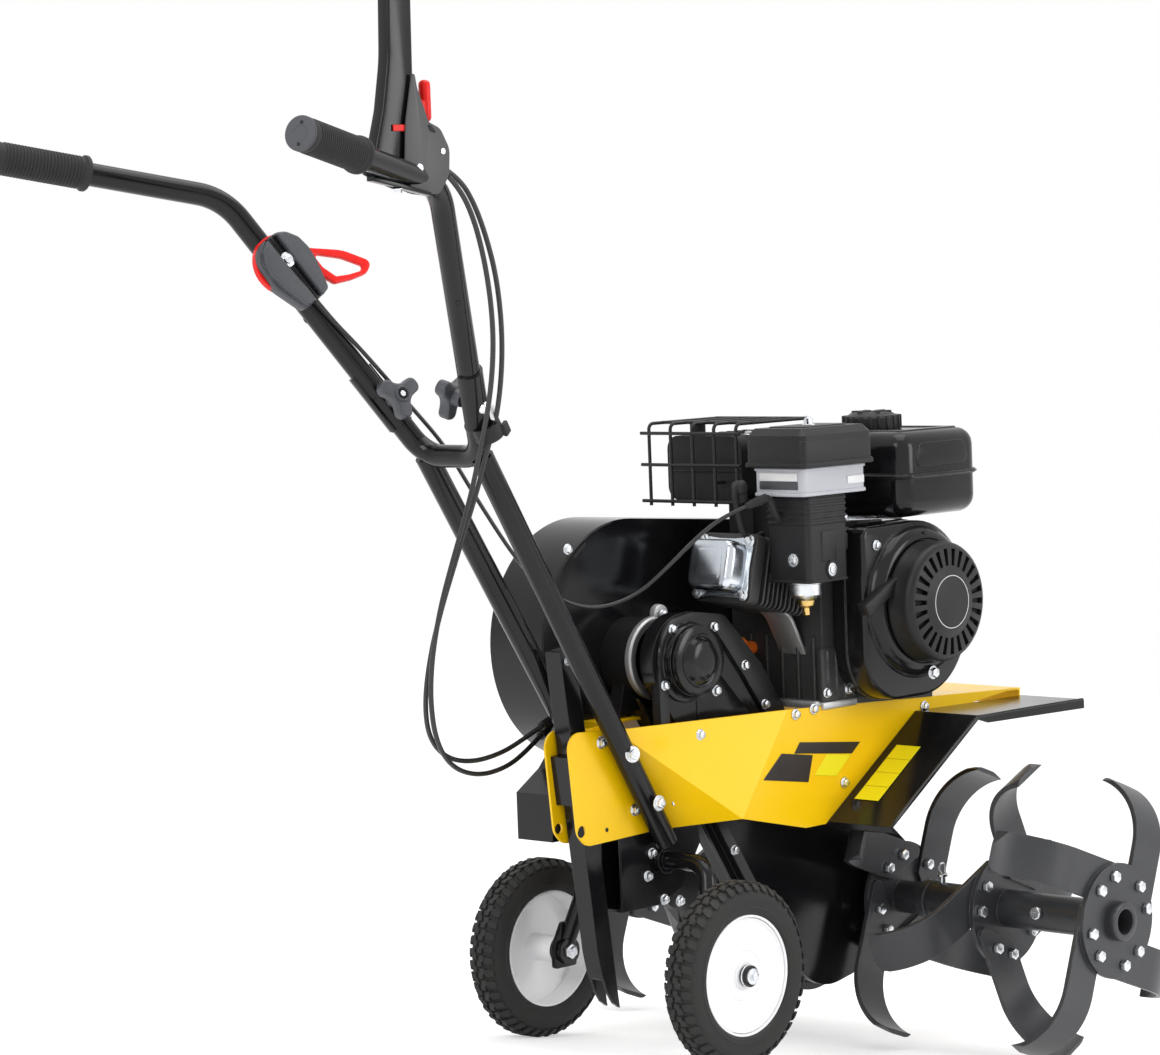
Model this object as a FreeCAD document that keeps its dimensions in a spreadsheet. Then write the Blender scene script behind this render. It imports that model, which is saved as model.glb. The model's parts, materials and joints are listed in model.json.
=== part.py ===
# Garden tiller: a petrol engine and a chain case on a pressed frame, with six sets of
# sabre tines in front, two transport wheels and a depth bar behind, and a two-armed handle.
#
# Everything is drawn in the machine's own frame: the origin on the wheels' axle, +X towards
# the tines, +Y to the left and +Z up, with the engine level. The whole machine is then leaned
# back by the stance, about the axle, until the tines and the wheels stand on the floor.
import FreeCAD, Part
import Sketcher
import math
import os

Vector = FreeCAD.Vector
Rotation = FreeCAD.Rotation
Placement = FreeCAD.Placement

doc = FreeCAD.newDocument("garden_tiller")
sheet = doc.addObject("Spreadsheet::Sheet", "Sizes")
sheet_rows = 0


class Size(float):
    """A number that remembers how it comes from the sheet's cells."""

    def __new__(cls, value, text):
        size = float.__new__(cls, value)
        size.text = text
        return size

    def __add__(self, other):
        return Size(float(self) + float(other), "(%s + %s)" % (self.text, text_of(other)))

    def __radd__(self, other):
        return Size(float(other) + float(self), "(%s + %s)" % (text_of(other), self.text))

    def __sub__(self, other):
        return Size(float(self) - float(other), "(%s - %s)" % (self.text, text_of(other)))

    def __rsub__(self, other):
        return Size(float(other) - float(self), "(%s - %s)" % (text_of(other), self.text))

    def __mul__(self, other):
        return Size(float(self) * float(other), "(%s * %s)" % (self.text, text_of(other)))

    def __rmul__(self, other):
        return Size(float(other) * float(self), "(%s * %s)" % (text_of(other), self.text))

    def __truediv__(self, other):
        return Size(float(self) / float(other), "(%s / %s)" % (self.text, text_of(other)))

    def __neg__(self):
        return Size(-float(self), "(0 - %s)" % self.text)


def text_of(number):
    return number.text if isinstance(number, Size) else repr(float(number))


def cell(alias, value):
    """One driving dimension: a plain number in the sheet, under its own name."""
    global sheet_rows
    sheet_rows += 1
    sheet.set("A%d" % sheet_rows, alias)
    sheet.set("B%d" % sheet_rows, str(value))
    sheet.setAlias("B%d" % sheet_rows, alias)
    return Size(value, "Sizes." + alias)


def bind(thing, prop, size):
    """Set a property, and tie it to the sheet where its size comes from there."""
    setattr(thing, prop, float(size))
    if isinstance(size, Size):
        thing.setExpression(prop, size.text)


# ---------------------------------------------------------------- driving dimensions
beyond = 2000.0                                # past the whole machine, for cutting shapes
axle_ahead = cell("axle_ahead", 113)           # wheel axle, forward of the row's origin

# transport wheels
wheel_radius = cell("wheel_radius", 112.5)
wheel_spread = cell("wheel_spread", 165)       # tyre's middle from the machine's middle
tyre_width = cell("tyre_width", 46)
rim_radius = cell("rim_radius", 73)
rim_width = cell("rim_width", 38)
rim_wall = cell("rim_wall", 3)
dish_thick = cell("dish_thick", 4)
dish_inset = cell("dish_inset", 9)             # dish, in from the tyre's outer face
hub_radius = cell("hub_radius", 17)
hub_length = cell("hub_length", 50)
axle_radius = cell("axle_radius", 8)
running_gap = cell("running_gap", 0.05)        # radial, at each plain bearing
side_gap = cell("side_gap", 0.5)               # along the axle, between hub and collar

# wheel carriage
carriage_tube = cell("carriage_tube", 11)      # tube radius
pivot_collar = cell("pivot_collar", 17)        # radius of the collars beside the cheeks
bar_x = cell("bar_x", 36)                      # the cross bar, which is the carriage's pivot
bar_z = cell("bar_z", 122)
bar_half = cell("bar_half", 92)
leg_end_y = cell("leg_end_y", 124)

# pressed frame
sheet_wall = cell("sheet_wall", 3)
flange_y = cell("flange_y", 18)                # inner face of the rear flanges
front_y = cell("front_y", 87)                  # inner face of the panels' front
flange_back = cell("flange_back", -127)
flange_top = cell("flange_top", 297)
flange_foot = cell("flange_foot", 156)
flange_corner = cell("flange_corner", 20)      # how round the flanges' rear corners are
hitch_x = cell("hitch_x", -107)
hitch_z = cell("hitch_z", 176)
hitch_radius = cell("hitch_radius", 6.5)
flare_top_x = cell("flare_top_x", -44)         # where the flanges begin to flare
flare_foot_x = cell("flare_foot_x", 29)
crease_top_x = cell("crease_top_x", 196)       # where they have flared to their full width
crease_foot_x = cell("crease_foot_x", 106)
panel_foot_z = cell("panel_foot_z", 168)
bed_rear_x = cell("bed_rear_x", 120)
bed_rear_z = cell("bed_rear_z", 297)
bed_front_x = cell("bed_front_x", 672)
bed_front_z = cell("bed_front_z", 270)
bed_back = cell("bed_back", 268)
bed_lip = cell("bed_lip", 22)
strip_reach = cell("strip_reach", 200)         # panel's narrow strip beside the bed, past the slant
strip_foot_z = cell("strip_foot_z", 259)

# tine guards
slant_top_x = cell("slant_top_x", 438)
slant_top_z = cell("slant_top_z", 264)
slant_foot_x = cell("slant_foot_x", 266)
slant_foot_z = cell("slant_foot_z", 144)
guard_reach = cell("guard_reach", 192)         # outer edge from the machine's middle
guard_lip = cell("guard_lip", 12)

# tines
tine_x = cell("tine_x", 442.6)
tine_z = cell("tine_z", 20)
tine_radius = cell("tine_radius", 190)
tine_width = cell("tine_width", 54)
tine_thick = cell("tine_thick", 6)
tine_heading = cell("tine_heading", 45.5)      # degrees from the root's bolts to the blade's direction
tine_offset = cell("tine_offset", -42)         # the blade's middle line, to the side of the shaft
tine_root = cell("tine_root", -8)
tine_phase = cell("tine_phase", 31.5)          # degrees above level, of the first root
roll_start = cell("roll_start", 100)
roll_radius = cell("roll_radius", 85)
roll_turn = cell("roll_turn", 78)              # degrees of the sideways roll
disc_radius = cell("disc_radius", 72)
disc_thick = cell("disc_thick", 6)
disc_inner_y = cell("disc_inner_y", 60)
disc_middle_y = cell("disc_middle_y", 232)
disc_outer_y = cell("disc_outer_y", 403)
shaft_radius = cell("shaft_radius", 15)
sleeve_radius = cell("sleeve_radius", 21)
sleeve_proud = cell("sleeve_proud", 14)
socket_radius = cell("socket_radius", 16)      # the open end, for an extension set's stub
socket_depth = cell("socket_depth", 120)

# chain case
input_x = cell("input_x", 72)
input_z = cell("input_z", 366)
case_half = cell("case_half", 33)
case_top_radius = cell("case_top_radius", 58)
case_foot_radius = cell("case_foot_radius", 78)
belly_x = cell("belly_x", 330)
belly_z = cell("belly_z", -4)
belly_radius = cell("belly_radius", 76)
input_thick = cell("input_thick", 21)          # the case's thickness round its input shaft
input_hub_radius = cell("input_hub_radius", 30)   # the input shaft's housing behind it
ring_near_y = cell("ring_near_y", 11)          # the bearing ring's open rim
boss_radius = cell("boss_radius", 36)
boss_rise = cell("boss_rise", 24)

# belt guard
belt_inner_y = cell("belt_inner_y", 62)
belt_depth = cell("belt_depth", 90)
belt_rear_radius = cell("belt_rear_radius", 152)
belt_front_radius = cell("belt_front_radius", 98)
belt_lift = cell("belt_lift", 20)
step_back = cell("step_back", 50)              # where the guard steps out past the frame
step_gap = cell("step_gap", 4)
foot_back = cell("foot_back", -74)
foot_front = cell("foot_front", 30)
foot_under = cell("foot_under", 151)
foot_top = cell("foot_top", 258)
foot_wide = cell("foot_wide", 60)
gland_radius = cell("gland_radius", 5.5)

# engine
crank_x = cell("crank_x", 388)
crank_z = cell("crank_z", 415)
case_rear_x = cell("case_rear_x", 264)
case_front_x = cell("case_front_x", 480)
case_left_y = cell("case_left_y", 58)
case_right_y = cell("case_right_y", -92)
case_top_z = cell("case_top_z", 500)
cylinder_lean = cell("cylinder_lean", 14)      # degrees, up towards the rear
head_width = cell("head_width", 92)
head_height = cell("head_height", 88)
head_middle_y = cell("head_middle_y", -29)
head_near = cell("head_near", 140)             # from the crank, along the cylinder
head_far = cell("head_far", 236)
cover_depth = cell("cover_depth", 36)
shroud_front_y = cell("shroud_front_y", -162)
shroud_radius = cell("shroud_radius", 103)
shroud_dome = cell("shroud_dome", 16)          # the raised ring round the starter
shroud_corner = cell("shroud_corner", 12)
shroud_foot_radius = cell("shroud_foot_radius", 62)
recoil_radius = cell("recoil_radius", 76)
recoil_depth = cell("recoil_depth", 41)
slot_count = 26                                # air slots in the starter's cover
slot_inner = cell("slot_inner", 46)
slot_outer = cell("slot_outer", 67)
slot_width = cell("slot_width", 5)
tank_x = cell("tank_x", 363)
tank_length = cell("tank_length", 156)
tank_right_y = cell("tank_right_y", -150)
tank_width = cell("tank_width", 235)
tank_lift = cell("tank_lift", 20)              # tank, above the crankcase
tank_z = case_top_z + tank_lift
tank_height = cell("tank_height", 109)
cap_radius = cell("cap_radius", 39)
cap_height = cell("cap_height", 22)
cap_y = cell("cap_y", -37)
air_x = cell("air_x", 172)
air_length = cell("air_length", 122)
air_right_y = cell("air_right_y", -150)
air_width = cell("air_width", 84)
air_z = cell("air_z", 561)
air_case_height = cell("air_case_height", 36)
air_cover_height = cell("air_cover_height", 48)
air_overhang = cell("air_overhang", 6)
carb_x = cell("carb_x", 183)
carb_length = cell("carb_length", 76)
carb_right_y = cell("carb_right_y", -145)
carb_width = cell("carb_width", 66)
carb_z = cell("carb_z", 455)
bowl_radius = cell("bowl_radius", 21)
bowl_drop = cell("bowl_drop", 26)
muffler_x = cell("muffler_x", 196)
muffler_length = cell("muffler_length", 130)
muffler_right_y = cell("muffler_right_y", -28)
muffler_width = cell("muffler_width", 126)
muffler_z = cell("muffler_z", 552)
muffler_height = cell("muffler_height", 82)
wire_radius = cell("wire_radius", 2.2)
wire_gap = cell("wire_gap", 16)

# handle
tube_radius = cell("tube_radius", 14)
lower_foot_x = cell("lower_foot_x", 26)
lower_foot_z = cell("lower_foot_z", 146)
yoke_drop = cell("yoke_drop", 92)              # from the knobs to the yoke's cross bar
yoke_bend = cell("yoke_bend", 40)
sleeve_up = cell("sleeve_up", 34)              # the half sleeves, above and below the knobs
sleeve_down = cell("sleeve_down", 44)
bar_tube = cell("bar_tube", 13.5)
knob_x = cell("knob_x", -319)
knob_y = cell("knob_y", 79)
knob_z = cell("knob_z", 713)
bend_x = cell("bend_x", -456)
bend_y = cell("bend_y", 181)
bend_z = cell("bend_z", 948)
grip_x = cell("grip_x", -617)
grip_y = cell("grip_y", 229)
grip_z = cell("grip_z", 980)
grip_length = cell("grip_length", 116)
grip_radius = cell("grip_radius", 19)
bend_radius = cell("bend_radius", 75)
seat_gap = cell("seat_gap", 0.3)               # between pieces that only rest together

lever_back = cell("lever_back", 46)            # from the bend to the clutch lever's bracket
lever_width = cell("lever_width", 26)
lever_height = cell("lever_height", 232)
cheek_wall = cell("cheek_wall", 4)
latch_wire = cell("latch_wire", 3)
latch_stand = cell("latch_stand", 9)
lever_pin = cell("lever_pin", 5)
throttle_up = cell("throttle_up", 190)         # from the knob, up the left bar
throttle_radius = cell("throttle_radius", 33)
throttle_thick = cell("throttle_thick", 22)
throttle_tail = cell("throttle_tail", 56)

# control cables: their routes are points chosen one by one, not sizes
cable_radius = cell("cable_radius", 3)
throttle_cable_radius = cell("throttle_cable_radius", 2.5)
clutch_route = [
    (-457, -190, 967), (-432, -189, 955), (-407, -184, 929), (-382, -175, 894), (-357, -163, 852),
    (-336, -148, 806), (-318, -130, 761), (-305, -111, 717), (-294, -90, 680), (-289, -70, 648),
    (-292, -56, 606), (-301, -43, 561), (-314, -32, 512), (-328, -21, 460), (-337, -9, 405),
    (-336, 3, 352), (-318, 16, 309), (-278, 29, 281), (-224, 41, 270), (-166, 52, 273),
    (-118, 63, 283), (-76, 72, 294)]
reverse_route = [
    (-459, -199, 958), (-440, -198, 943), (-416, -192, 912), (-392, -181, 870), (-370, -167, 823),
    (-351, -150, 778), (-336, -130, 733), (-322, -106, 692), (-312, -84, 656), (-310, -67, 611),
    (-318, -55, 563), (-330, -45, 516), (-340, -34, 467), (-344, -22, 413), (-337, -8, 359),
    (-317, 6, 307), (-278, 22, 271), (-220, 38, 253), (-158, 54, 254), (-106, 71, 266),
    (-62, 88, 280)]
throttle_route = [
    (-385, 106, 826), (-366, 98, 800), (-343, 88, 774), (-315, 75, 738), (-282, 64, 698),
    (-240, 51, 648), (-211, 42, 597), (-182, 35, 551), (-150, 31, 508), (-111, 29, 471),
    (-67, 24, 445), (-22, 13, 436), (24, -5, 450), (57, -26, 482), (86, -48, 516),
    (112, -68, 540), (140, -86, 552)]

# depth bar
stake_top_x = cell("stake_top_x", -112)
stake_top_z = cell("stake_top_z", 395)
stake_foot_x = cell("stake_foot_x", -57)
stake_foot_z = cell("stake_foot_z", -52)
stake_width = cell("stake_width", 26)
stake_depth = cell("stake_depth", 26)
stake_wall = cell("stake_wall", 5)
guide_up = cell("guide_up", 262)               # the guide's foot, up the bar from its point
guide_height = cell("guide_height", 60)

doc.recompute()

# ---------------------------------------------------------------- the stance
tine_reach = math.hypot(tine_x, tine_z)
tine_lift = math.atan2(tine_z, tine_x)
stance_angle = math.degrees(math.asin((tine_radius - wheel_radius) / tine_reach) - tine_lift)
stance = Placement(Vector(axle_ahead, 0, wheel_radius), Rotation(Vector(0, 1, 0), -stance_angle))

parts = []


def keep(thing, label, local=None):
    """Name a finished sub-part and stand it in the machine's stance."""
    thing.Label = label
    thing.Placement = stance.multiply(local) if local else stance
    parts.append(thing)
    return thing


def feature(label, shape):
    """A sub-part whose shape is made here from the named sizes."""
    thing = doc.addObject("Part::Feature", label)
    thing.Shape = shape
    return keep(thing, label, shape.Placement)


# ---------------------------------------------------------------- sketches and bodies
def plane_of(body, role):
    for item in body.Origin.OriginFeatures:
        if item.Role == role:
            return item
    raise ValueError(role)


def outline(body, role, points, offset=0.0):
    """A closed sketch through points whose coordinates are sizes."""
    sketch = body.newObject("Sketcher::SketchObject", body.Name + "_outline")
    sketch.AttachmentSupport = [(plane_of(body, role), "")]
    sketch.MapMode = "FlatFace"
    sketch.AttachmentOffset = Placement(Vector(0, 0, float(offset)), Rotation())
    corners = [Vector(float(x), float(y), 0) for x, y in points]
    count = len(corners)
    for i in range(count):
        sketch.addGeometry(Part.LineSegment(corners[i], corners[(i + 1) % count]), False)
    for i in range(count):
        sketch.addConstraint(Sketcher.Constraint("Coincident", i, 2, (i + 1) % count, 1))
    for i, (x, y) in enumerate(points):
        for kind, size in (("DistanceX", x), ("DistanceY", y)):
            row = sketch.addConstraint(Sketcher.Constraint(kind, -1, 1, i, 1, float(size)))
            if isinstance(size, Size):
                sketch.setExpression("Constraints[%d]" % row, size.text)
    return sketch


def padded(label, role, points, length, offset=0.0, local=None):
    """A body made by pushing an outline through a length, from its offset plane."""
    body = doc.addObject("PartDesign::Body", label)
    sketch = outline(body, role, points, offset)
    pad = body.newObject("PartDesign::Pad", label + "_pad")
    pad.Profile = sketch
    bind(pad, "Length", length)
    body.Tip = pad
    return keep(body, label, local)


def turned(label, points, local):
    """A body of revolution about its own Y axis: points are (radius, along)."""
    body = doc.addObject("PartDesign::Body", label)
    sketch = outline(body, "XY_Plane", points)
    spin = body.newObject("PartDesign::Revolution", label + "_spin")
    spin.Profile = sketch
    spin.ReferenceAxis = (sketch, ["V_Axis"])
    spin.Angle = 360
    body.Tip = spin
    return keep(body, label, local)


def at(x, y, z):
    return Placement(Vector(float(x), float(y), float(z)), Rotation())


# ---------------------------------------------------------------- shapes from sizes
def tube_path(points, radius):
    """Straight runs through the points, joined by tangent arcs of one radius."""
    points = [Vector(*[float(v) for v in p]) for p in points]
    edges = []
    start = points[0]
    for before, corner, after in zip(points, points[1:], points[2:]):
        back = (before - corner).normalize()
        ahead = (after - corner).normalize()
        half_turn = (math.pi - back.getAngle(ahead)) / 2
        trim = float(radius) * math.tan(half_turn)
        first = corner + back * trim
        last = corner + ahead * trim
        toward = (back + ahead).normalize()
        middle = corner + toward * (float(radius) / math.cos(half_turn) - float(radius))
        edges.append(Part.LineSegment(start, first).toShape())
        edges.append(Part.Arc(first, middle, last).toShape())
        start = last
    edges.append(Part.LineSegment(start, points[-1]).toShape())
    return Part.Wire(edges)


def tube(points, radius, bend):
    """A round bar along a bent path."""
    path = tube_path(points, bend)
    start = Vector(*[float(v) for v in points[0]])
    heading = Vector(*[float(v) for v in points[1]]) - start
    ring = Part.Wire([Part.Circle(start, heading, float(radius)).toShape()])
    return path.makePipeShell([ring], True, False)


def rod(start, end, radius):
    """A straight round bar between two points."""
    start, end = Vector(*[float(v) for v in start]), Vector(*[float(v) for v in end])
    return Part.makeCylinder(float(radius), (end - start).Length, start, end - start)


def slab(points, y_from, y_to):
    """A flat plate whose outline is given in X and Z, between two values of Y."""
    corners = [Vector(float(x), float(y_from), float(z)) for x, z in points]
    face = Part.Face(Part.makePolygon(corners + corners[:1]))
    return face.extrude(Vector(0, float(y_to) - float(y_from), 0))


def block(x, y, z, dx, dy, dz):
    return Part.makeBox(float(dx), float(dy), float(dz), Vector(float(x), float(y), float(z)))


def disc(x, z, y_from, y_to, radius):
    low, high = sorted((float(y_from), float(y_to)))
    return Part.makeCylinder(float(radius), high - low, Vector(float(x), low, float(z)),
                             Vector(0, 1, 0))


def belt_outline(circles):
    """The closed wire of a band drawn round circles (x, z, radius), anticlockwise in X-Z."""
    edges = []
    count = len(circles)
    joins = []
    for i in range(count):
        x1, z1, r1 = [float(v) for v in circles[i]]
        x2, z2, r2 = [float(v) for v in circles[(i + 1) % count]]
        along = math.atan2(z2 - z1, x2 - x1)
        side = along - math.acos((r1 - r2) / math.hypot(x2 - x1, z2 - z1))
        joins.append(side)
        edges.append(Part.LineSegment(
            Vector(x1 + r1 * math.cos(side), 0, z1 + r1 * math.sin(side)),
            Vector(x2 + r2 * math.cos(side), 0, z2 + r2 * math.sin(side))).toShape())
    for i in range(count):
        x, z, r = [float(v) for v in circles[i]]
        first, last = joins[i - 1], joins[i]
        while last < first:
            last += 2 * math.pi
        spots = [Vector(x + r * math.cos(a), 0, z + r * math.sin(a))
                 for a in (first, (first + last) / 2, last)]
        edges.append(Part.Arc(*spots).toShape())
    return Part.Wire(Part.__sortEdges__(edges))


def band(circles, y_from, y_to):
    """A solid band round circles, between two values of Y."""
    face = Part.Face(belt_outline(circles))
    face.translate(Vector(0, float(y_from), 0))
    return face.extrude(Vector(0, float(y_to) - float(y_from), 0))


def spot_of(x, y, z):
    return Vector(float(x), float(y), float(z))


def cable_end(route):
    """A cable's last point, and the way it is going there."""
    last, before = spot_of(*route[-1]), spot_of(*route[-2])
    return last, (last - before).normalize()


def joined(shapes):
    whole = shapes[0].fuse(shapes[1:]) if len(shapes) > 1 else shapes[0]
    return whole.removeSplitter()


def bed_height(x):
    """Top of the engine bed at a distance ahead of the axle."""
    fall = (bed_front_z - bed_rear_z) / (bed_front_x - bed_rear_x)
    return bed_rear_z + fall * (x - bed_rear_x)


# ---------------------------------------------------------------- transport wheels
def make_wheel(side, sign):
    hub = at(0, sign * wheel_spread, 0)
    half = tyre_width / 2
    bead = rim_width / 2
    shoulder = wheel_radius - 9
    turned("tyre_" + side, [
        (rim_radius, -bead), (rim_radius + 10, -half + 1), (shoulder - 8, -half), (shoulder, -half + 4),
        (wheel_radius - 3, -half / 2 - 3), (wheel_radius, 0 - half / 4), (wheel_radius, half / 4),
        (wheel_radius - 3, half / 2 + 3), (shoulder, half - 4), (shoulder - 8, half),
        (rim_radius + 10, half - 1), (rim_radius, bead)], hub)
    outer = half - dish_inset
    inner = outer - dish_thick
    hub_out = hub_length / 2 - 8
    hub_in = hub_out - hub_length
    bore = axle_radius + running_gap
    lip = rim_radius - rim_wall
    profile = [(bore, hub_in), (hub_radius, hub_in), (hub_radius, inner), (lip, inner), (lip, -bead),
               (rim_radius, -bead), (rim_radius, bead), (lip, bead), (lip, outer),
               (hub_radius, outer), (hub_radius, hub_out), (bore, hub_out)]
    turned("wheel_disc_" + side, [(r, sign * y) for r, y in profile], hub)


make_wheel("right", -1)
make_wheel("left", 1)


# ---------------------------------------------------------------- wheel carriage
def make_carriage():
    """A bent tube: its cross bar turns in the bracket's cheeks, its legs carry the stub axles."""
    hub_out = wheel_spread + hub_length / 2 - 8
    hub_in = hub_out - hub_length
    legs = tube([(0, -leg_end_y, 0), (bar_x, -bar_half, bar_z), (bar_x, bar_half, bar_z),
                 (0, leg_end_y, 0)], carriage_tube, 30)
    for sign in (-1, 1):
        legs = legs.cut(disc(0, 0, sign * (hub_in - side_gap), sign * beyond, hub_radius * 2))
    pieces = [legs]
    for sign in (-1, 1):
        pieces.append(disc(0, 0, sign * (leg_end_y - 12), sign * (hub_in - side_gap), hub_radius))
        pieces.append(disc(0, 0, sign * (hub_in - side_gap), sign * (hub_out + 10), axle_radius))
        pieces.append(disc(0, 0, sign * (hub_out + side_gap), sign * (hub_out + 8), hub_radius - 4))
        pieces.append(disc(bar_x, bar_z, sign * (flange_y + side_gap), sign * (flange_y + 9), pivot_collar))
    feature("carriage_frame", joined(pieces))


make_carriage()


# ---------------------------------------------------------------- pressed frame
def side_panel(sign):
    """One pressed side: a flat rear flange that flares, by two triangles, to the wide front."""
    flange = [(flange_back, flange_top), (flare_top_x, flange_top - 6), (flare_foot_x, flange_foot + 4),
              (flange_back + 26, flange_foot), (flange_back + 12, flange_foot + 16)]
    strip_end = slant_top_x + strip_reach
    front = [(crease_top_x, bed_height(crease_top_x)), (strip_end, bed_height(strip_end)),
             (strip_end, bed_height(strip_end) - 3), (slant_top_x + strip_reach / 2, strip_foot_z),
             (slant_top_x + 8, slant_top_z - sheet_wall), (slant_foot_x + 30, slant_foot_z + 16),
             (slant_foot_x - 4, slant_foot_z - 3), (slant_foot_x - 42, slant_foot_z - 3),
             (crease_foot_x, panel_foot_z)]
    near, far = sign * flange_y, sign * front_y
    thick = Vector(0, float(sign * sheet_wall), 0)
    spots = [Vector(float(x), float(y), float(z)) for (x, z), y in
             ((flange[1], near), (flange[2], near), (front[-1], far), (front[0], far))]
    flare = [Part.Face(Part.makePolygon([spots[i] for i in corners])).extrude(thick)
             for corners in ((0, 1, 2, 0), (0, 2, 3, 0))]
    rear = slab(flange, near, near + thick.y)
    corners = [e for e in rear.Edges if e.Length < sheet_wall + 0.01
               and e.Vertexes[0].X < float(flange_back) + 30]
    rear = rear.makeFillet(float(flange_corner), corners)
    panel = joined([rear, slab(front, far, far + thick.y)] + flare)
    hitch = disc(hitch_x, hitch_z, near - 10, near + 10, hitch_radius)
    return panel.cut(hitch)


feature("frame_panel_right", side_panel(-1))
feature("frame_panel_left", side_panel(1))


def make_bed():
    """The bed that the engine stands on, turned down at its front edge."""
    half = front_y - seat_gap
    top = [(bed_back, bed_height(bed_back)), (bed_front_x, bed_front_z),
           (bed_front_x, bed_front_z - bed_lip), (bed_front_x - sheet_wall, bed_front_z - bed_lip),
           (bed_front_x - sheet_wall, bed_front_z - sheet_wall),
           (bed_back, bed_height(bed_back) - sheet_wall)]
    padded("engine_bed", "XZ_Plane", top, half * 2, -half)


make_bed()


def make_tine_guard(side, sign):
    wall = sheet_wall
    inner = front_y + sheet_wall + seat_gap
    reach = guard_reach
    run_x, run_z = slant_top_x - slant_foot_x, slant_top_z - slant_foot_z
    slope = math.hypot(run_x, run_z)
    out_x, out_z = -run_z / slope * wall, run_x / slope * wall
    skin = [(bed_front_x, bed_front_z - 10), (slant_top_x + 8, slant_top_z), (slant_foot_x, slant_foot_z),
            (slant_foot_x + 4, slant_foot_z - 8), (slant_foot_x + 14, slant_foot_z - 10),
            (slant_foot_x + 14, slant_foot_z - 10 + wall), (slant_foot_x + 6, slant_foot_z - 8 + wall),
            (slant_foot_x - out_x + 1, slant_foot_z), (slant_top_x + 8 - out_x / 2, slant_top_z - wall),
            (bed_front_x, bed_front_z - 10 - wall)]
    sheet_part = slab(skin, sign * inner, sign * reach)
    lip = slab([(bed_front_x, bed_front_z - 10), (slant_top_x + 8, slant_top_z),
                (slant_foot_x, slant_foot_z), (slant_foot_x + 4, slant_foot_z - 2),
                (slant_top_x + 10, slant_top_z - 6), (slant_top_x + 30, slant_top_z - guard_lip),
                (bed_front_x, bed_front_z - 10 - guard_lip)],
               sign * (reach - wall), sign * reach)
    feature("tine_guard_" + side, joined([sheet_part, lip]))


make_tine_guard("right", -1)
make_tine_guard("left", 1)


def make_carriage_bracket():
    """Two cheeks under the frame, joined by a web, that the carriage's cross bar turns in."""
    y_in, y_out = flange_y - sheet_wall - seat_gap, flange_y - seat_gap
    cheek = [(-38, flange_foot + 44), (12, flange_foot + 44), (30, flange_foot + 14),
             (100, flange_foot + 14), (106, bar_z + 12), (bar_x + 34, bar_z - 40),
             (bar_x - 8, bar_z - 56), (-38, bar_z - 56)]
    pieces = [slab(cheek, sign * y_in, sign * y_out) for sign in (-1, 1)]
    pieces.append(block(-38, -y_out, bar_z - 56, bar_x + 30, 2 * y_out, sheet_wall))
    bore = disc(bar_x, bar_z, -flange_y, flange_y, carriage_tube + running_gap)
    feature("carriage_bracket", joined(pieces).cut(bore))


make_carriage_bracket()


# ---------------------------------------------------------------- chain case
def make_chain_case():
    circles = [(input_x, input_z, case_top_radius), (belly_x, belly_z, belly_radius),
               (tine_x, tine_z, case_foot_radius)]
    halves = band(circles, -case_half, case_half)
    flange = band([(x, z, r + 10) for x, z, r in circles], -sheet_wall, sheet_wall)
    boss = disc(input_x, input_z, -case_half - boss_rise, -case_half, boss_radius)
    cap = disc(input_x, input_z, -case_half - boss_rise - 6, -case_half - boss_rise, boss_radius * 0.55)
    relief = disc(input_x, input_z, input_thick - case_half, case_half + 1, case_top_radius + 10.5)
    hub = disc(input_x, input_z, -case_half, case_half, input_hub_radius)
    whole = joined([joined([halves, flange]).cut(relief), boss, cap, hub])
    bore = disc(tine_x, tine_z, -case_half - 1, case_half + 1, shaft_radius + running_gap)
    feature("chain_case", whole.cut(bore))


make_chain_case()


def make_bearing_bracket():
    """The alloy bracket that holds the input shaft's bearing beside the belt guard."""
    ring = disc(input_x, input_z, ring_near_y, belt_inner_y, 50)
    hollows = [disc(input_x, input_z, ring_near_y, case_half, 40),
               disc(input_x, input_z, case_half + 8, belt_inner_y, 40)]
    foot = slab([(input_x - 40, input_z - 30), (input_x + 40, input_z - 30),
                 (input_x + 50, bed_rear_z + 1), (input_x - 50, bed_rear_z + 1)], case_half, case_half + 20)
    feature("bearing_bracket", joined([ring, foot]).cut(hollows))


make_bearing_bracket()


def make_belt_guard():
    """A deep two-lobed cover, stepped outwards where it hangs beside the frame."""
    circles = [(input_x, input_z + belt_lift, belt_rear_radius), (crank_x, crank_z, belt_front_radius)]
    shell = band(circles, belt_inner_y, belt_inner_y + belt_depth)
    step = block(step_back, 0, 0, beyond, front_y + sheet_wall + step_gap, flange_top + step_gap)
    foot = slab([(foot_back, foot_under), (foot_front, foot_under), (foot_front, foot_top),
                 (foot_back + 62, foot_top), (foot_back + 40, foot_top - 24), (foot_back, foot_top - 49)],
                belt_inner_y, belt_inner_y + foot_wide)
    glands = [rod(end, end + way * 30, gland_radius) for end, way in
              (cable_end(clutch_route), cable_end(reverse_route))]
    feature("belt_guard", joined([shell.cut(step), foot] + glands))


make_belt_guard()


# ---------------------------------------------------------------- engine
def make_crankcase():
    """The base casting, the snout the belt runs on and the carrier under the tank."""
    foot = [(case_rear_x, bed_height(case_rear_x)), (case_front_x, bed_height(case_front_x)),
            (case_front_x, case_top_z - 40), (case_front_x - 50, case_top_z), (case_rear_x + 60, case_top_z),
            (case_rear_x, case_top_z - 60)]
    body = slab(foot, case_right_y, case_left_y)
    snout = disc(crank_x, crank_z, case_left_y, belt_inner_y, 30)
    carrier = block(tank_x + 12, case_right_y + 30, case_top_z, 50, 110, tank_z - case_top_z)
    feature("crankcase", joined([body, snout, carrier]))


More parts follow.
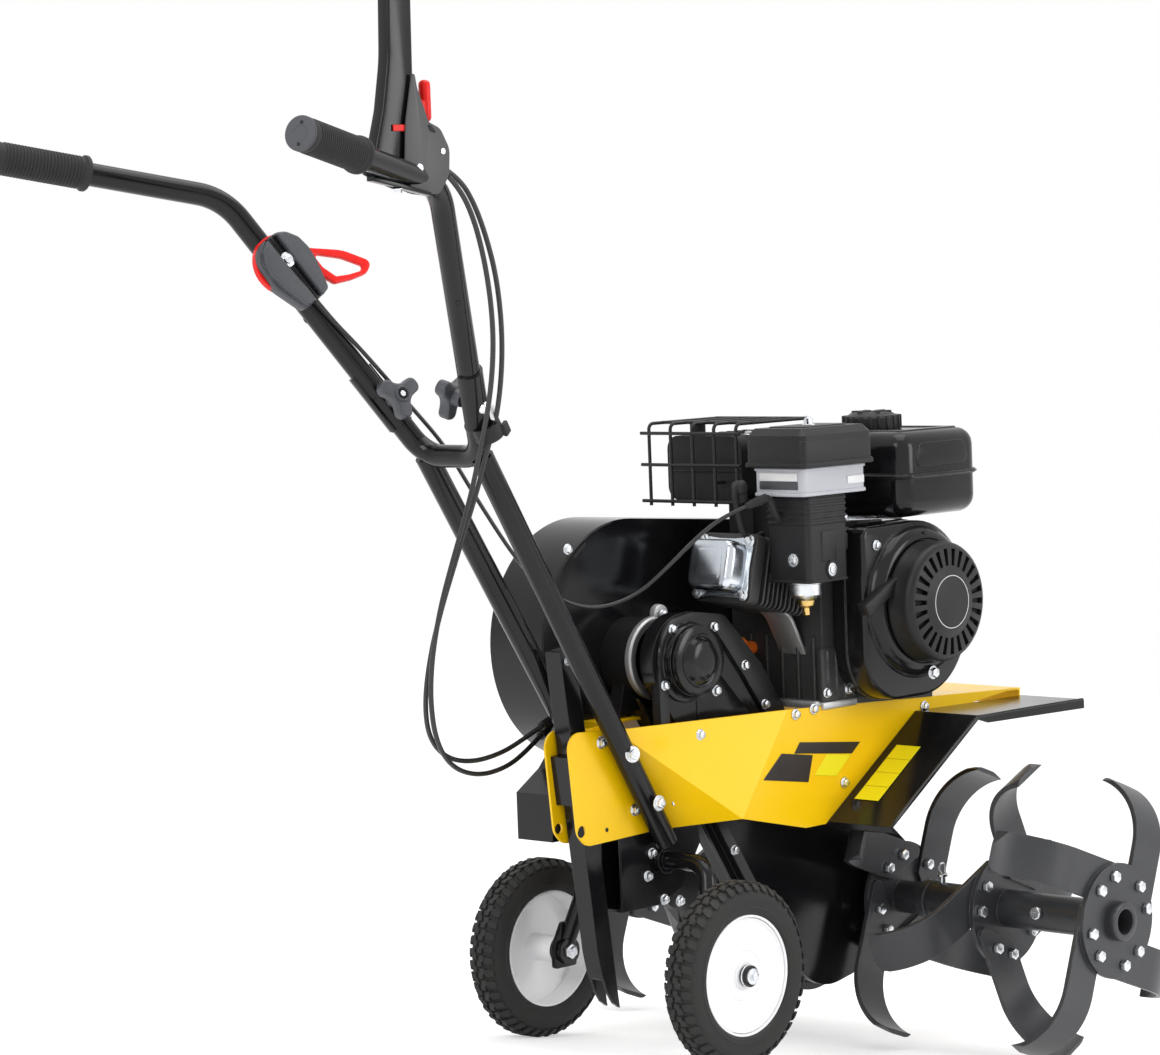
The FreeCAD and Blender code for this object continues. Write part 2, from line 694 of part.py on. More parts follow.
def along_cylinder(far, across):
    """A point on the cylinder's line: far from the crank, and across it, upwards."""
    lean = math.radians(cylinder_lean)
    return (crank_x - far * math.cos(lean) + across * math.sin(lean),
            crank_z + far * math.sin(lean) + across * math.cos(lean))


def barrel_block(near, far, height, width):
    """A block along the leaning cylinder."""
    corners = [along_cylinder(near, -height / 2), along_cylinder(far, -height / 2),
               along_cylinder(far, height / 2), along_cylinder(near, height / 2)]
    return slab(corners, head_middle_y - width / 2, head_middle_y + width / 2)


def ahead_of_case():
    """Everything forward of the crankcase's rear face."""
    return block(case_rear_x, -beyond, -beyond, beyond, 2 * beyond, 2 * beyond)


def make_cylinder_head():
    head = barrel_block(head_near - 40, head_far, head_height, head_width)
    feature("cylinder_head", head.cut(ahead_of_case()))
    cover = barrel_block(head_far, head_far + cover_depth, head_height - 16, head_width - 12)
    edges = [e for e in cover.Edges if e.Length < cover_depth + 1]
    feature("valve_cover", cover.makeFillet(10, edges))


def make_fan_shroud():
    """A housing that is square at its upper rear corner and round elsewhere, with a raised ring."""
    rear_x, foot_z = crank_x - shroud_radius, bed_height(crank_x - shroud_radius) + 1
    outline_circles = [
        (crank_x, crank_z, shroud_radius),
        (rear_x + shroud_corner, crank_z + shroud_radius - shroud_corner - 10, shroud_corner),
        (rear_x + shroud_foot_radius, foot_z + shroud_foot_radius, shroud_foot_radius),
        (crank_x + shroud_radius / 2 - 6, foot_z + shroud_foot_radius / 2, shroud_foot_radius / 2)]
    housing = band(outline_circles, shroud_front_y + shroud_dome, case_right_y)
    dome = Part.makeCone(float(shroud_radius - 5), float(recoil_radius + 4), float(shroud_dome),
                         spot_of(crank_x, shroud_front_y + shroud_dome, crank_z), Vector(0, -1, 0))
    low = slab([(bed_rear_x, 0), (bed_front_x, 0), (bed_front_x, bed_front_z), (bed_rear_x, bed_rear_z)],
               -beyond, beyond)
    feature("fan_shroud", joined([housing, dome]).cut(low))


def make_recoil():
    """The starter's cover: a shallow cup with a ring of air slots."""
    profile = [(0, 0), (recoil_radius, 0), (recoil_radius, -recoil_depth + 16),
               (recoil_radius - 6, -recoil_depth + 4), (recoil_radius - 14, -recoil_depth),
               (0, -recoil_depth)]
    corners = [spot_of(r, y, 0) for r, y in profile]
    cup = Part.Face(Part.makePolygon(corners + corners[:1])).revolve(Vector(), Vector(0, 1, 0), 360)
    slots = []
    for i in range(slot_count):
        slot = block(slot_inner, -recoil_depth - 1, -slot_width / 2, slot_outer - slot_inner, 9, slot_width)
        slots.append(slot.rotate(Vector(), Vector(0, 1, 0), 360 * i / slot_count))
    cup = cup.cut(slots)
    cup.translate(spot_of(crank_x, shroud_front_y, crank_z))
    feature("recoil_starter", cup)


def make_tank():
    x, y, z = tank_x, tank_right_y, tank_z
    tank = block(x, y, z, tank_length, tank_width, tank_height)
    tank = tank.makeFillet(20, tank.Edges)
    seam = block(x - 5, y - 5, z + 50, tank_length + 10, tank_width + 10, 3)
    seam = seam.makeFillet(24, [e for e in seam.Edges if e.Length < 4])
    feature("fuel_tank", joined([tank, seam]))
    cap = Part.makeCylinder(float(cap_radius), float(cap_height),
                            Vector(x + tank_length / 2, cap_y, z + tank_height))
    feature("fuel_cap", cap)


def make_air_cleaner():
    case = block(air_x, air_right_y, air_z, air_length, air_width, air_case_height)
    feature("air_cleaner_case", case)
    cover = block(air_x - air_overhang, air_right_y - air_overhang, air_z + air_case_height,
                  air_length + 2 * air_overhang, air_width + 2 * air_overhang, air_cover_height)
    top = float(air_z + air_case_height + air_cover_height)
    rim = [e for e in cover.Edges if min(v.Z for v in e.Vertexes) > top - 1]
    feature("air_cleaner_cover", cover.makeChamfer(8, rim))


def make_carburettor():
    body = block(carb_x, carb_right_y, carb_z, carb_length, carb_width, air_z - carb_z)
    middle_x = carb_x + carb_length / 2
    bowl = Part.makeCylinder(float(bowl_radius), float(bowl_drop),
                             Vector(middle_x - 8, carb_right_y + carb_width / 2, carb_z - bowl_drop))
    inlet = disc(middle_x, carb_z + 22, carb_right_y + carb_width, head_middle_y - head_width / 2, 13)
    end, way = cable_end(throttle_route)
    knee = end + way * 10
    boot = rod(end, knee, gland_radius).fuse(rod(knee, (carb_x + 4, end.y - 16, end.z - 12), gland_radius))
    feature("carburettor", joined([body, bowl, inlet, boot]))


def make_muffler():
    box = block(muffler_x, muffler_right_y, muffler_z, muffler_length, muffler_width, muffler_height)
    box = box.makeFillet(18, [e for e in box.Edges if e.Length > float(muffler_length) - 4
                              and abs(e.Vertexes[0].Y - e.Vertexes[1].Y) < 1])
    pipe = block(muffler_x + 20, muffler_right_y + 2, muffler_z - 80, 40, 40, 82)
    head = barrel_block(head_near - 40, head_far, head_height, head_width)
    feature("muffler", joined([box, pipe.cut(head)]))


def make_muffler_guard():
    """A cage of welded wire behind and over the hot box."""
    x_back = muffler_x - wire_gap
    x_front = muffler_x + muffler_length * 0.9
    y_low, y_high = muffler_right_y - 6, muffler_right_y + muffler_width + wire_gap
    z_low, z_high = muffler_z - 6, muffler_z + muffler_height + 16
    wires = []
    count = 4
    for i in range(count + 1):
        y = y_low + (y_high - y_low) * i / count
        wires.append(tube([(x_back, y, z_low), (x_back, y, z_high), (x_front, y, z_high)], wire_radius, 8))
    for z in (z_low + 6, (z_low + z_high) / 2, z_high - 12):
        first = Vector(float(x_back - wire_radius), float(y_low - 8), float(z))
        wires.append(rod(first, first + Vector(0, float(y_high - y_low + 20), 0), wire_radius))
    for x in (x_back + 30, x_front):
        wires.append(rod((x, y_low - 4, z_high), (x, y_high + 4, z_high), wire_radius))
    y_stay = y_low + (y_high - y_low) / count
    wires.append(rod((x_back, y_stay, z_low + 30), (muffler_x, y_stay, z_low + 30), wire_radius))
    feature("muffler_guard", joined(wires))


def make_oil_plug():
    spot = (case_rear_x, case_left_y - 33, bed_height(case_rear_x) + 66)
    plug = rod(spot, (spot[0] - 22, spot[1], spot[2] + 4), 9)
    knob = rod((spot[0] - 22, spot[1], spot[2] + 4), (spot[0] - 34, spot[1], spot[2] + 6), 14)
    feature("oil_plug", joined([plug, knob]).cut(ahead_of_case()))


make_crankcase()
make_cylinder_head()
make_fan_shroud()
make_recoil()
make_tank()
make_air_cleaner()
make_carburettor()
make_muffler()
make_muffler_guard()
make_oil_plug()


# ---------------------------------------------------------------- tines
def across_tine(along, across):
    """A place on a tine: along its blade from the shaft's level, and across it."""
    turn = math.radians(tine_heading)
    along, across = float(along), float(across)
    return (along * math.cos(turn) - across * math.sin(turn), along * math.sin(turn) + across * math.cos(turn))


def tine_blank(deep):
    """A flat tine in the X-Z plane, running past the shaft, its root cut away on the shaft's side."""
    low, high = tine_offset - tine_width / 2, tine_offset + tine_width / 2
    tip = float(roll_start) + float(roll_radius) * math.sin(math.radians(roll_turn))
    outline = [(tine_root, low + 5), (tine_root, low + 14), (tine_root + 11, tine_offset - 4), (tine_root + 43, high),
               (tip - 5, high), (tip - 1.5, high - 4), (tip + 0.5, high - 12), (tip + 0.5, low + 12),
               (tip - 1.5, low + 4), (tip - 5, low), (tine_root + 5, low)]
    return slab([across_tine(u, w) for u, w in outline], -deep, deep)


def bent_strip(y_base, away):
    """A plate that is flat near the shaft and rolled sideways towards the tines' ends."""
    start, radius, thick = float(roll_start), float(roll_radius), float(tine_thick)
    full = math.radians(roll_turn)

    def arc_spot(shift, angle):
        return (start + (radius - shift) * math.sin(angle), radius - (radius - shift) * math.cos(angle))

    def place(u, v, w):
        x, z = across_tine(u, w)
        return Vector(x, float(y_base) + away * v, z)

    near_face = [(-20, 0)] + [arc_spot(0, angle) for angle in (0, full / 2, full)]
    far_face = [arc_spot(thick, angle) for angle in (full, full / 2, 0)] + [(-20, thick)]
    low = -220
    spots = [place(u, v, low) for u, v in near_face]
    back = [place(u, v, low) for u, v in far_face]
    edges = [Part.LineSegment(spots[0], spots[1]).toShape(),
             Part.Arc(spots[1], spots[2], spots[3]).toShape(),
             Part.LineSegment(spots[3], back[0]).toShape(),
             Part.Arc(back[0], back[1], back[2]).toShape(),
             Part.LineSegment(back[2], back[3]).toShape(),
             Part.LineSegment(back[3], spots[0]).toShape()]
    face = Part.Face(Part.Wire(edges))
    return face.extrude(place(0, 0, 220) - place(0, 0, low))


def tine(y_base, away, angle):
    deep = float(tine_radius)
    blank = tine_blank(deep)
    blank.translate(Vector(0, float(y_base), 0))
    blade = blank.common(bent_strip(y_base, away))
    blade = blade.common(disc(0, 0, y_base - deep, y_base + deep, tine_radius))
    blade.rotate(Vector(0, 0, 0), Vector(0, 1, 0), -angle)
    return blade


def tine_star(y_disc, bends, turn):
    """A disc with four tines bolted to one face, each bent to its own side."""
    pieces = [disc(0, 0, y_disc - disc_thick / 2, y_disc + disc_thick / 2, disc_radius)]
    for i, away in enumerate(bends):
        y_base = y_disc + away * disc_thick / 2
        pieces.append(tine(y_base, away, float(tine_phase) - stance_angle + float(turn) + 90 * i))
    return pieces


def make_tine_set(label, shapes, bore):
    whole = joined(shapes)
    whole = whole.cut(bore)
    whole.translate(Vector(float(tine_x), 0, float(tine_z)))
    feature(label, whole)


def make_tines(side, sign):
    outward = sign
    inward = -sign
    inner = tine_star(sign * disc_inner_y, [outward] * 4, 0)
    inner.append(disc(0, 0, sign * (case_half + 5), sign * (disc_inner_y + 40), sleeve_radius))
    bore = disc(0, 0, 0, sign * beyond, shaft_radius)
    make_tine_set("tines_inner_" + side, inner, bore)
    outer = tine_star(sign * disc_middle_y, [outward, inward, outward, inward], 45)
    outer += tine_star(sign * disc_outer_y, [inward] * 4, 0)
    end_y = disc_outer_y + sleeve_proud
    outer.append(disc(0, 0, sign * (disc_inner_y + 40 + seat_gap), sign * end_y, sleeve_radius + 3))
    socket = disc(0, 0, sign * (end_y - socket_depth), sign * (end_y + 1), socket_radius)
    make_tine_set("tines_outer_" + side, outer, bore.fuse(socket))


make_tines("right", -1)
make_tines("left", 1)


def make_tine_shaft():
    shaft = disc(tine_x, tine_z, -disc_middle_y - 60, disc_middle_y + 60, shaft_radius)
    feature("tine_shaft", shaft)


make_tine_shaft()


# ---------------------------------------------------------------- handle
def upper_bar(sign):
    """One upper bar, from its clamp over the bend to the end of its grip."""
    knob_spot = spot_of(knob_x, sign * knob_y, knob_z)
    bend_spot = spot_of(bend_x, sign * bend_y, bend_z)
    grip_spot = spot_of(grip_x, sign * grip_y, grip_z)
    end_spot = grip_spot + (grip_spot - bend_spot).normalize() * float(grip_length)
    return tube([knob_spot, bend_spot, end_spot], bar_tube, bend_radius)


def three_ways(first, axis):
    """An offset, turned by thirds about an axis."""
    return [Rotation(axis, 120 * i).multVec(first) for i in range(3)]


def make_handle_side(side, sign, yoke, low):
    """One side's lower tube, upper bar with its half sleeve, grip and clamping knob."""
    foot_y = sign * (flange_y + sheet_wall + seat_gap + tube_radius)
    lower = rod((lower_foot_x, foot_y, lower_foot_z), (low.x, sign * low.y, low.z), tube_radius)
    feature("handle_tube_" + side, lower.cut(yoke))
    knob_spot = spot_of(knob_x, sign * knob_y, knob_z)
    bend_spot = spot_of(bend_x, sign * bend_y, bend_z)
    grip_spot = spot_of(grip_x, sign * grip_y, grip_z)
    along = (bend_spot - knob_spot).normalize()
    back = (grip_spot - bend_spot).normalize()
    inward = Vector(0, -sign, 0)
    inward = (inward - along * inward.dot(along)).normalize()
    end_spot = grip_spot + back * float(grip_length)
    sleeve = rod(knob_spot - along * float(sleeve_down), knob_spot + along * float(sleeve_up), bar_tube + 3)
    sleeve = sleeve.cut(rod(knob_spot - along * 200, knob_spot, bar_tube + seat_gap))
    half = rod(knob_spot + inward * 40, knob_spot + inward * 4, 90)
    feature("handlebar_" + side, joined([upper_bar(sign), sleeve.cut(half)]).cut(yoke))
    grip = rod(grip_spot, end_spot + back * 4, grip_radius).cut(rod(grip_spot, end_spot, bar_tube))
    feature("grip_" + side, grip)
    centre = knob_spot - along * 14
    stud = rod(centre, centre + inward * (float(bar_tube) + 12), 8)
    near, far = (centre + inward * (float(bar_tube) + step) for step in (12, 30))
    lobes = [rod(near + way, far + way, 9) for way in three_ways(along * 15, inward)]
    feature("knob_" + side, joined([stud, rod(near, far, 15)] + lobes).cut(yoke))


def make_handle():
    """A U-shaped yoke on the lower tubes' heads, with the upper bars clamped to its arms."""
    knob_spot = spot_of(knob_x, knob_y, knob_z)
    along = (spot_of(bend_x, bend_y, bend_z) - knob_spot).normalize()
    low = knob_spot - along * float(yoke_drop)
    top = knob_spot - along * float(seat_gap)
    yoke = tube([(top.x, -top.y, top.z), (low.x, -low.y, low.z), (low.x, low.y, low.z),
                 (top.x, top.y, top.z)], bar_tube, yoke_bend)
    feature("handle_yoke", yoke)
    make_handle_side("right", -1, yoke, low)
    make_handle_side("left", 1, yoke, low)


make_handle()


def bar_run(sign):
    """Where a handlebar's upper run starts, and the way it goes back to the grip."""
    start = spot_of(bend_x, sign * bend_y, bend_z)
    return start, (spot_of(grip_x, sign * grip_y, grip_z) - start).normalize()


def make_clutch_lever():
    """Two cheeks stand on the right handlebar, with the tall lever hinged between them."""
    start, back = bar_run(-1)
    spot = start + back * float(lever_back)
    low, high = spot.y - float(lever_width) / 2, spot.y + float(lever_width) / 2
    inner_low, inner_high = low + float(cheek_wall), high - float(cheek_wall)
    x, z = spot.x, spot.z
    cheek = [(x - 18, z - 20), (x + 31, z - 20), (x + 49, z + 29), (x + 14, z + 73), (x - 8, z + 126),
             (x - 18, z + 40)]
    saddle = [(x - 18, z - 20), (x + 31, z - 20), (x + 38, z), (x - 18, z)]
    stop = [(x + 24, z - 6), (x + 36, z - 6), (x + 48, z + 26), (x + 34, z + 26)]
    bar = upper_bar(-1)
    bracket = joined([slab(cheek, low, inner_low), slab(cheek, inner_high, high), slab(saddle, low, high),
                      slab(stop, low, high), disc(x + 2, z + 26, low, high, lever_pin)])
    feature("lever_bracket", bracket.cut(bar))
    outline = [(x - 75, z + 30), (x - 62, z + 18), (x + 8, z + 16), (x + 12, z + 32), (x - 6, z + 126),
               (x - 8, z + lever_height), (x - 44, z + lever_height), (x - 53, z + 126)]
    lever = slab(outline, inner_low + seat_gap, inner_high - seat_gap)
    feature("clutch_lever", lever.cut(disc(x + 2, z + 26, low, high, lever_pin + seat_gap)).cut(bar))


make_clutch_lever()


def make_throttle():
    """A round lever housing with a tail, on the inner side of the left handlebar."""
    low = spot_of(knob_x, knob_y, knob_z)
    along = (spot_of(bend_x, bend_y, bend_z) - low).normalize()
    inward = Vector(0, -1, 0)
    inward = (inward - along * inward.dot(along)).normalize()
    across = along.cross(inward)
    seat = low + along * float(throttle_up) + inward * (float(bar_tube) - 4)
    push = inward * float(throttle_thick)
    tail = [seat + across * 26, seat - across * 26, seat - across * 11 - along * float(throttle_tail),
            seat + across * 11 - along * float(throttle_tail)]
    housing = joined([rod(seat, seat + push, throttle_radius),
                      Part.Face(Part.makePolygon(tail + tail[:1])).extrude(push)])
    feature("throttle_control", housing.cut(rod(low, low + along * 1.5 * float(throttle_up), bar_tube)))


make_throttle()


def make_depth_bar():
    """A gutter-shaped bar with a pointed foot."""
    top = Vector(float(stake_top_x), 0, float(stake_top_z))
    foot = Vector(float(stake_foot_x), 0, float(stake_foot_z))
    along = (top - foot)
    length = along.Length
    half = float(stake_width) / 2
    wall, depth = float(stake_wall), float(stake_depth)
    section = [(-half, 0), (half, 0), (half, depth), (half - wall, depth), (half - wall, wall),
               (-half + wall, wall), (-half + wall, depth), (-half, depth)]
    corners = [Vector(x - depth / 2, y, 0) for y, x in section]
    bar = Part.Face(Part.makePolygon(corners + corners[:1])).extrude(Vector(0, 0, length))
    back, front = -depth / 2, depth / 2
    bar = bar.cut(slab([(back - 20, 80), (back, 75), (back + 3, 48), (back + 9, 24), (back + 17, 8),
                        (front, 0), (front, -5), (back - 20, -5)], -half - 1, half + 1))
    lean = math.degrees(math.atan2(float(stake_top_x - stake_foot_x), float(stake_top_z - stake_foot_z)))
    bar.rotate(Vector(0, 0, 0), Vector(0, 1, 0), lean)
    bar.translate(foot)
    feature("depth_bar", bar)
    gap = float(seat_gap)
    y_out = float(flange_y) - gap
    outer = Part.makeBox(depth + 16, 2 * y_out, float(guide_height), Vector(-depth / 2 - 8, -y_out, 0))
    inner = Part.makeBox(depth + 2 * gap, 2 * (half + gap), float(guide_height),
                         Vector(-depth / 2 - gap, -half - gap, 0))
    guide = outer.cut(inner)
    guide.translate(Vector(0, 0, float(guide_up)))
    guide.rotate(Vector(0, 0, 0), Vector(0, 1, 0), lean)
    guide.translate(foot)
    feature("depth_bar_guide", guide)


make_depth_bar()


# ---------------------------------------------------------------- cables and the carriage's latch
def make_cable(label, route, radius):
    """A cable's plain tube: straight runs, each corner's arc as large as its two runs allow."""
    points = [spot_of(*point) for point in route]
    edges = []
    start = points[0]
    smallest = 1e9
    for before, corner, after in zip(points, points[1:], points[2:]):
        back, ahead = before - corner, after - corner
        trim = 0.45 * min(back.Length, ahead.Length)
        half_turn = (math.pi - back.getAngle(ahead)) / 2
        arc = trim / math.tan(half_turn)
        smallest = min(smallest, arc)
        back, ahead = back.normalize(), ahead.normalize()
        toward = (back + ahead).normalize()
        middle = corner + toward * (arc / math.cos(half_turn) - arc)
        first, last = corner + back * trim, corner + ahead * trim
        edges.append(Part.LineSegment(start, first).toShape())
        edges.append(Part.Arc(first, middle, last).toShape())
        start = last
    edges.append(Part.LineSegment(start, points[-1]).toShape())
    path = Part.Wire(edges)
    ring = Part.Wire([Part.Circle(points[0], points[1] - points[0], float(radius)).toShape()])
    solid = path.makePipeShell([ring], True, False)
    print(label, "length", round(path.Length), "smallest radius", round(smallest),
          "volume share", round(solid.Volume / (path.Length * math.pi * radius * radius), 3))
    feature(label, solid)


make_cable("clutch_cable", clutch_route, cable_radius)
make_cable("reverse_cable", reverse_route, cable_radius)
make_cable("throttle_cable", throttle_route, throttle_cable_radius)


def flare_face(x, z):
    """The right panel's outer face at a place given in X and Z, and the way out from it."""
    top, foot = (flare_top_x, flange_top - 6), (flare_foot_x, flange_foot + 4)
    low, high = (crease_foot_x, panel_foot_z), (crease_top_x, bed_height(crease_top_x))
    start, end = spot_of(top[0], -flange_y, top[1]), spot_of(low[0], -front_y, low[1])
    crease, reach = end - start, Vector(x, 0, z) - Vector(start.x, 0, start.z)
    above = reach.x * crease.z < reach.z * crease.x
    third = spot_of(high[0], -front_y, high[1]) if above else spot_of(foot[0], -flange_y, foot[1])
    out = crease.cross(third - start).normalize()
    if out.y > 0:
        out = out * -1
    y = start.y - (out.x * reach.x + out.z * reach.z) / out.y
    return Vector(x, y - float(sheet_wall), z), out


def make_latch():
    """A wire loop held off the right panel on three posts."""
    spots = [flare_face(x, z) for x, z in ((32, 200), (42, 228), (62, 226), (80, 208), (70, 194), (46, 192))]
    loop = tube([spot + out * float(latch_stand) for spot, out in spots], latch_wire, 6)
    feet = [flare_face(x, z) for x, z in ((36, 204), (43, 224), (77, 208))]
    posts = [rod(spot, spot + out * float(latch_stand + latch_wire), latch_wire * 2) for spot, out in feet]
    feature("carriage_latch", joined([loop] + posts))


make_latch()

# ---------------------------------------------------------------- check and write
doc.recompute()
for thing in doc.Objects:
    if "Invalid" in thing.State or "Error" in thing.State:
        raise RuntimeError("%s did not build: %s" % (thing.Label, thing.State))
os.makedirs("parts", exist_ok=True)
for thing in parts:
    shape = thing.Shape
    if shape.isNull() or not shape.isValid():
        raise RuntimeError("%s has no valid shape" % thing.Label)
    shape.exportStep("parts/%s.step" % thing.Label)
    print(thing.Label, len(shape.Solids), round(shape.Volume), len(shape.Faces))
box = Part.makeCompound([thing.Shape for thing in parts]).BoundBox
print("stance", round(stance_angle, 3), "box", box)
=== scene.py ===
import bmesh
import bpy
import json
import math
from mathutils import Matrix, Vector

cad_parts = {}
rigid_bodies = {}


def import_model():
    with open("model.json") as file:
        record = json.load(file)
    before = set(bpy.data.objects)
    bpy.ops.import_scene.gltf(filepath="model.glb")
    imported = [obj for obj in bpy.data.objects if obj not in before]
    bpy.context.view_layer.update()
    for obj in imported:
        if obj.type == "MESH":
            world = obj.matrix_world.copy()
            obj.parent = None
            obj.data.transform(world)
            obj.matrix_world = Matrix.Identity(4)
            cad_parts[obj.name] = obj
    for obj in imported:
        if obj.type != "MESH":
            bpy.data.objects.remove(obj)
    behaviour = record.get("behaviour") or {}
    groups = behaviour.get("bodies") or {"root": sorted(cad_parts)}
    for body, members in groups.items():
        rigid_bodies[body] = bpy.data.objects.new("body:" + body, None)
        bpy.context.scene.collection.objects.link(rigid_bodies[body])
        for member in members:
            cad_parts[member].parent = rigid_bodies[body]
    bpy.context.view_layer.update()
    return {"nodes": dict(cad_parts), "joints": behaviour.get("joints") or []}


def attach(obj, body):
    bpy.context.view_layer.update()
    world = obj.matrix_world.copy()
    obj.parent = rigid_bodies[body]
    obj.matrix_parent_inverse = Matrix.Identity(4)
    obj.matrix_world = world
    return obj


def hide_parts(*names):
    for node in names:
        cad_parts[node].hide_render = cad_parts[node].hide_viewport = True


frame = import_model()
cad = frame["nodes"]
everything = bpy.context.scene.collection.objects

# ---------------------------------------------------------------- the machine's own frame
# Places are measured from the wheels' axle, with the engine level: +X to the tines, +Y to the
# left, +Z up. The machine leans back from that by its stance. Pieces are made in millimetres.
joints = {joint["name"]: joint for joint in frame["joints"]}
axle_x, _, axle_z = joints["wheel_spin_right"]["pos_m"]
rotor_x, _, rotor_z = joints["tine_spin"]["pos_m"]
tine_x, tine_z = 442.6, 20.0
crank_x, crank_z = 388, 415
lean = math.atan2(rotor_z - axle_z, rotor_x - axle_x) - math.atan2(tine_z, tine_x)
stance = Matrix.Translation((axle_x, 0, axle_z)) @ Matrix.Rotation(-lean, 4, "Y")
machine = stance @ Matrix.Scale(0.001, 4)


# ---------------------------------------------------------------- camera and cables
def stand_camera():
    lens = bpy.data.cameras.new("camera")
    lens.sensor_fit, lens.sensor_width, lens.lens = "HORIZONTAL", 36, 117.94
    lens.clip_end = 200
    camera = bpy.data.objects.new("camera", lens)
    camera.matrix_world = (
        Matrix.Translation((-3.31915, -3.19211, 0.53241)) @ Matrix.Rotation(math.radians(-45.893), 4, "Z")
        @ Matrix.Rotation(math.radians(91.321), 4, "X") @ Matrix.Rotation(math.radians(3.073), 4, "Z"))
    everything.link(camera)
    bpy.context.scene.camera = camera


def round_curve(name, spots, radius, facets, steps):
    """A curve with a round section on a smooth line by its control points."""
    curve = bpy.data.curves.new(name, "CURVE")
    curve.dimensions = "3D"
    curve.bevel_depth, curve.bevel_resolution, curve.resolution_u = radius, facets, steps
    curve.use_fill_caps = True
    line = curve.splines.new("NURBS")
    line.points.add(len(spots) - 1)
    for point, spot in zip(line.points, spots):
        point.co = (*spot, 1)
    line.order_u = 3
    line.use_endpoint_u = True
    return curve, line


def control_cable(name, diameter, route):
    """A cable held at both ends, along its route in metres."""
    curve, line = round_curve(name + "_run", [stance @ Vector(spot) for spot in route], 1, 3, 8)
    for point in line.points:
        point.radius = diameter / 2
    piece = bpy.data.objects.new(name + "_run", curve)
    everything.link(piece)
    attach(piece, "machine")
    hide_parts(name)
    return piece


stand_camera()
cables = [
    control_cable("clutch_cable", 0.006, [
        (-0.457, -0.190, 0.967), (-0.432, -0.189, 0.955), (-0.407, -0.184, 0.929), (-0.382, -0.175, 0.894),
        (-0.357, -0.163, 0.852), (-0.336, -0.148, 0.806), (-0.318, -0.130, 0.761), (-0.305, -0.111, 0.717),
        (-0.294, -0.090, 0.680), (-0.289, -0.070, 0.648), (-0.292, -0.056, 0.606), (-0.301, -0.043, 0.561),
        (-0.314, -0.032, 0.512), (-0.328, -0.021, 0.460), (-0.337, -0.009, 0.405), (-0.336, 0.003, 0.352),
        (-0.318, 0.016, 0.309), (-0.278, 0.029, 0.281), (-0.224, 0.041, 0.270), (-0.166, 0.052, 0.273),
        (-0.118, 0.063, 0.283), (-0.076, 0.072, 0.294)]),
    control_cable("reverse_cable", 0.006, [
        (-0.459, -0.199, 0.958), (-0.440, -0.198, 0.943), (-0.416, -0.192, 0.912), (-0.392, -0.181, 0.870),
        (-0.370, -0.167, 0.823), (-0.351, -0.150, 0.778), (-0.336, -0.130, 0.733), (-0.322, -0.106, 0.692),
        (-0.312, -0.084, 0.656), (-0.310, -0.067, 0.611), (-0.318, -0.055, 0.563), (-0.330, -0.045, 0.516),
        (-0.340, -0.034, 0.467), (-0.344, -0.022, 0.413), (-0.337, -0.008, 0.359), (-0.317, 0.006, 0.307),
        (-0.278, 0.022, 0.271), (-0.220, 0.038, 0.253), (-0.158, 0.054, 0.254), (-0.106, 0.071, 0.266),
        (-0.062, 0.088, 0.280)]),
    control_cable("throttle_cable", 0.005, [
        (-0.385, 0.106, 0.826), (-0.366, 0.098, 0.800), (-0.343, 0.088, 0.774), (-0.315, 0.075, 0.738),
        (-0.282, 0.064, 0.698), (-0.240, 0.051, 0.648), (-0.211, 0.042, 0.597), (-0.182, 0.035, 0.551),
        (-0.150, 0.031, 0.508), (-0.111, 0.029, 0.471), (-0.067, 0.024, 0.445), (-0.022, 0.013, 0.436),
        (0.024, -0.005, 0.450), (0.057, -0.026, 0.482), (0.086, -0.048, 0.516), (0.112, -0.068, 0.540),
        (0.140, -0.086, 0.552)]),
]


# ---------------------------------------------------------------- finishes
def new_group(name, takes, gives):
    """An effect that several finishes share: its sockets, and the nodes at its two ends."""
    group = bpy.data.node_groups.new(name, "ShaderNodeTree")
    for way, sockets in (("INPUT", takes), ("OUTPUT", gives)):
        for title, kind, *value in sockets:
            socket = group.interface.new_socket(name=title, in_out=way, socket_type="NodeSocket" + kind)
            if value:
                socket.default_value = value[0]
    return group, group.nodes.new("NodeGroupInput"), group.nodes.new("NodeGroupOutput")


def wire_up(tree, pairs):
    for source, target in pairs:
        tree.links.new(source, target)


def feed(tree, sockets, values):
    """Give each socket its number, its colour or another node's output."""
    for socket, value in zip(sockets, values):
        if isinstance(value, (int, float)):
            socket.default_value = value
        elif isinstance(value, tuple):
            socket.default_value = (*value, 1)
        else:
            tree.links.new(value, socket)


def add_math(tree, kind, *values):
    """A math node whose values are numbers or other nodes' outputs."""
    node = tree.nodes.new("ShaderNodeMath")
    node.operation = kind
    feed(tree, node.inputs, values)
    return node.outputs[0]


def add_mix(tree, share, first, second):
    """A colour between two, by a share."""
    node = tree.nodes.new("ShaderNodeMix")
    node.data_type = "RGBA"
    feed(tree, [node.inputs[i] for i in (0, 6, 7)], (share, first, second))
    return node.outputs[2]


def add_noise(tree, place, size, detail=3.0, roughness=0.55):
    node = tree.nodes.new("ShaderNodeTexNoise")
    node.inputs["Detail"].default_value = detail
    node.inputs["Roughness"].default_value = roughness
    feed(tree, [node.inputs["Vector"], node.inputs["Scale"]], (place, size))
    return node.outputs["Fac"]


def add_range(tree, value, low, high, to_low, to_high):
    node = tree.nodes.new("ShaderNodeMapRange")
    node.interpolation_type = "SMOOTHSTEP"
    feed(tree, node.inputs, (value, low, high, to_low, to_high))
    return node.outputs[0]


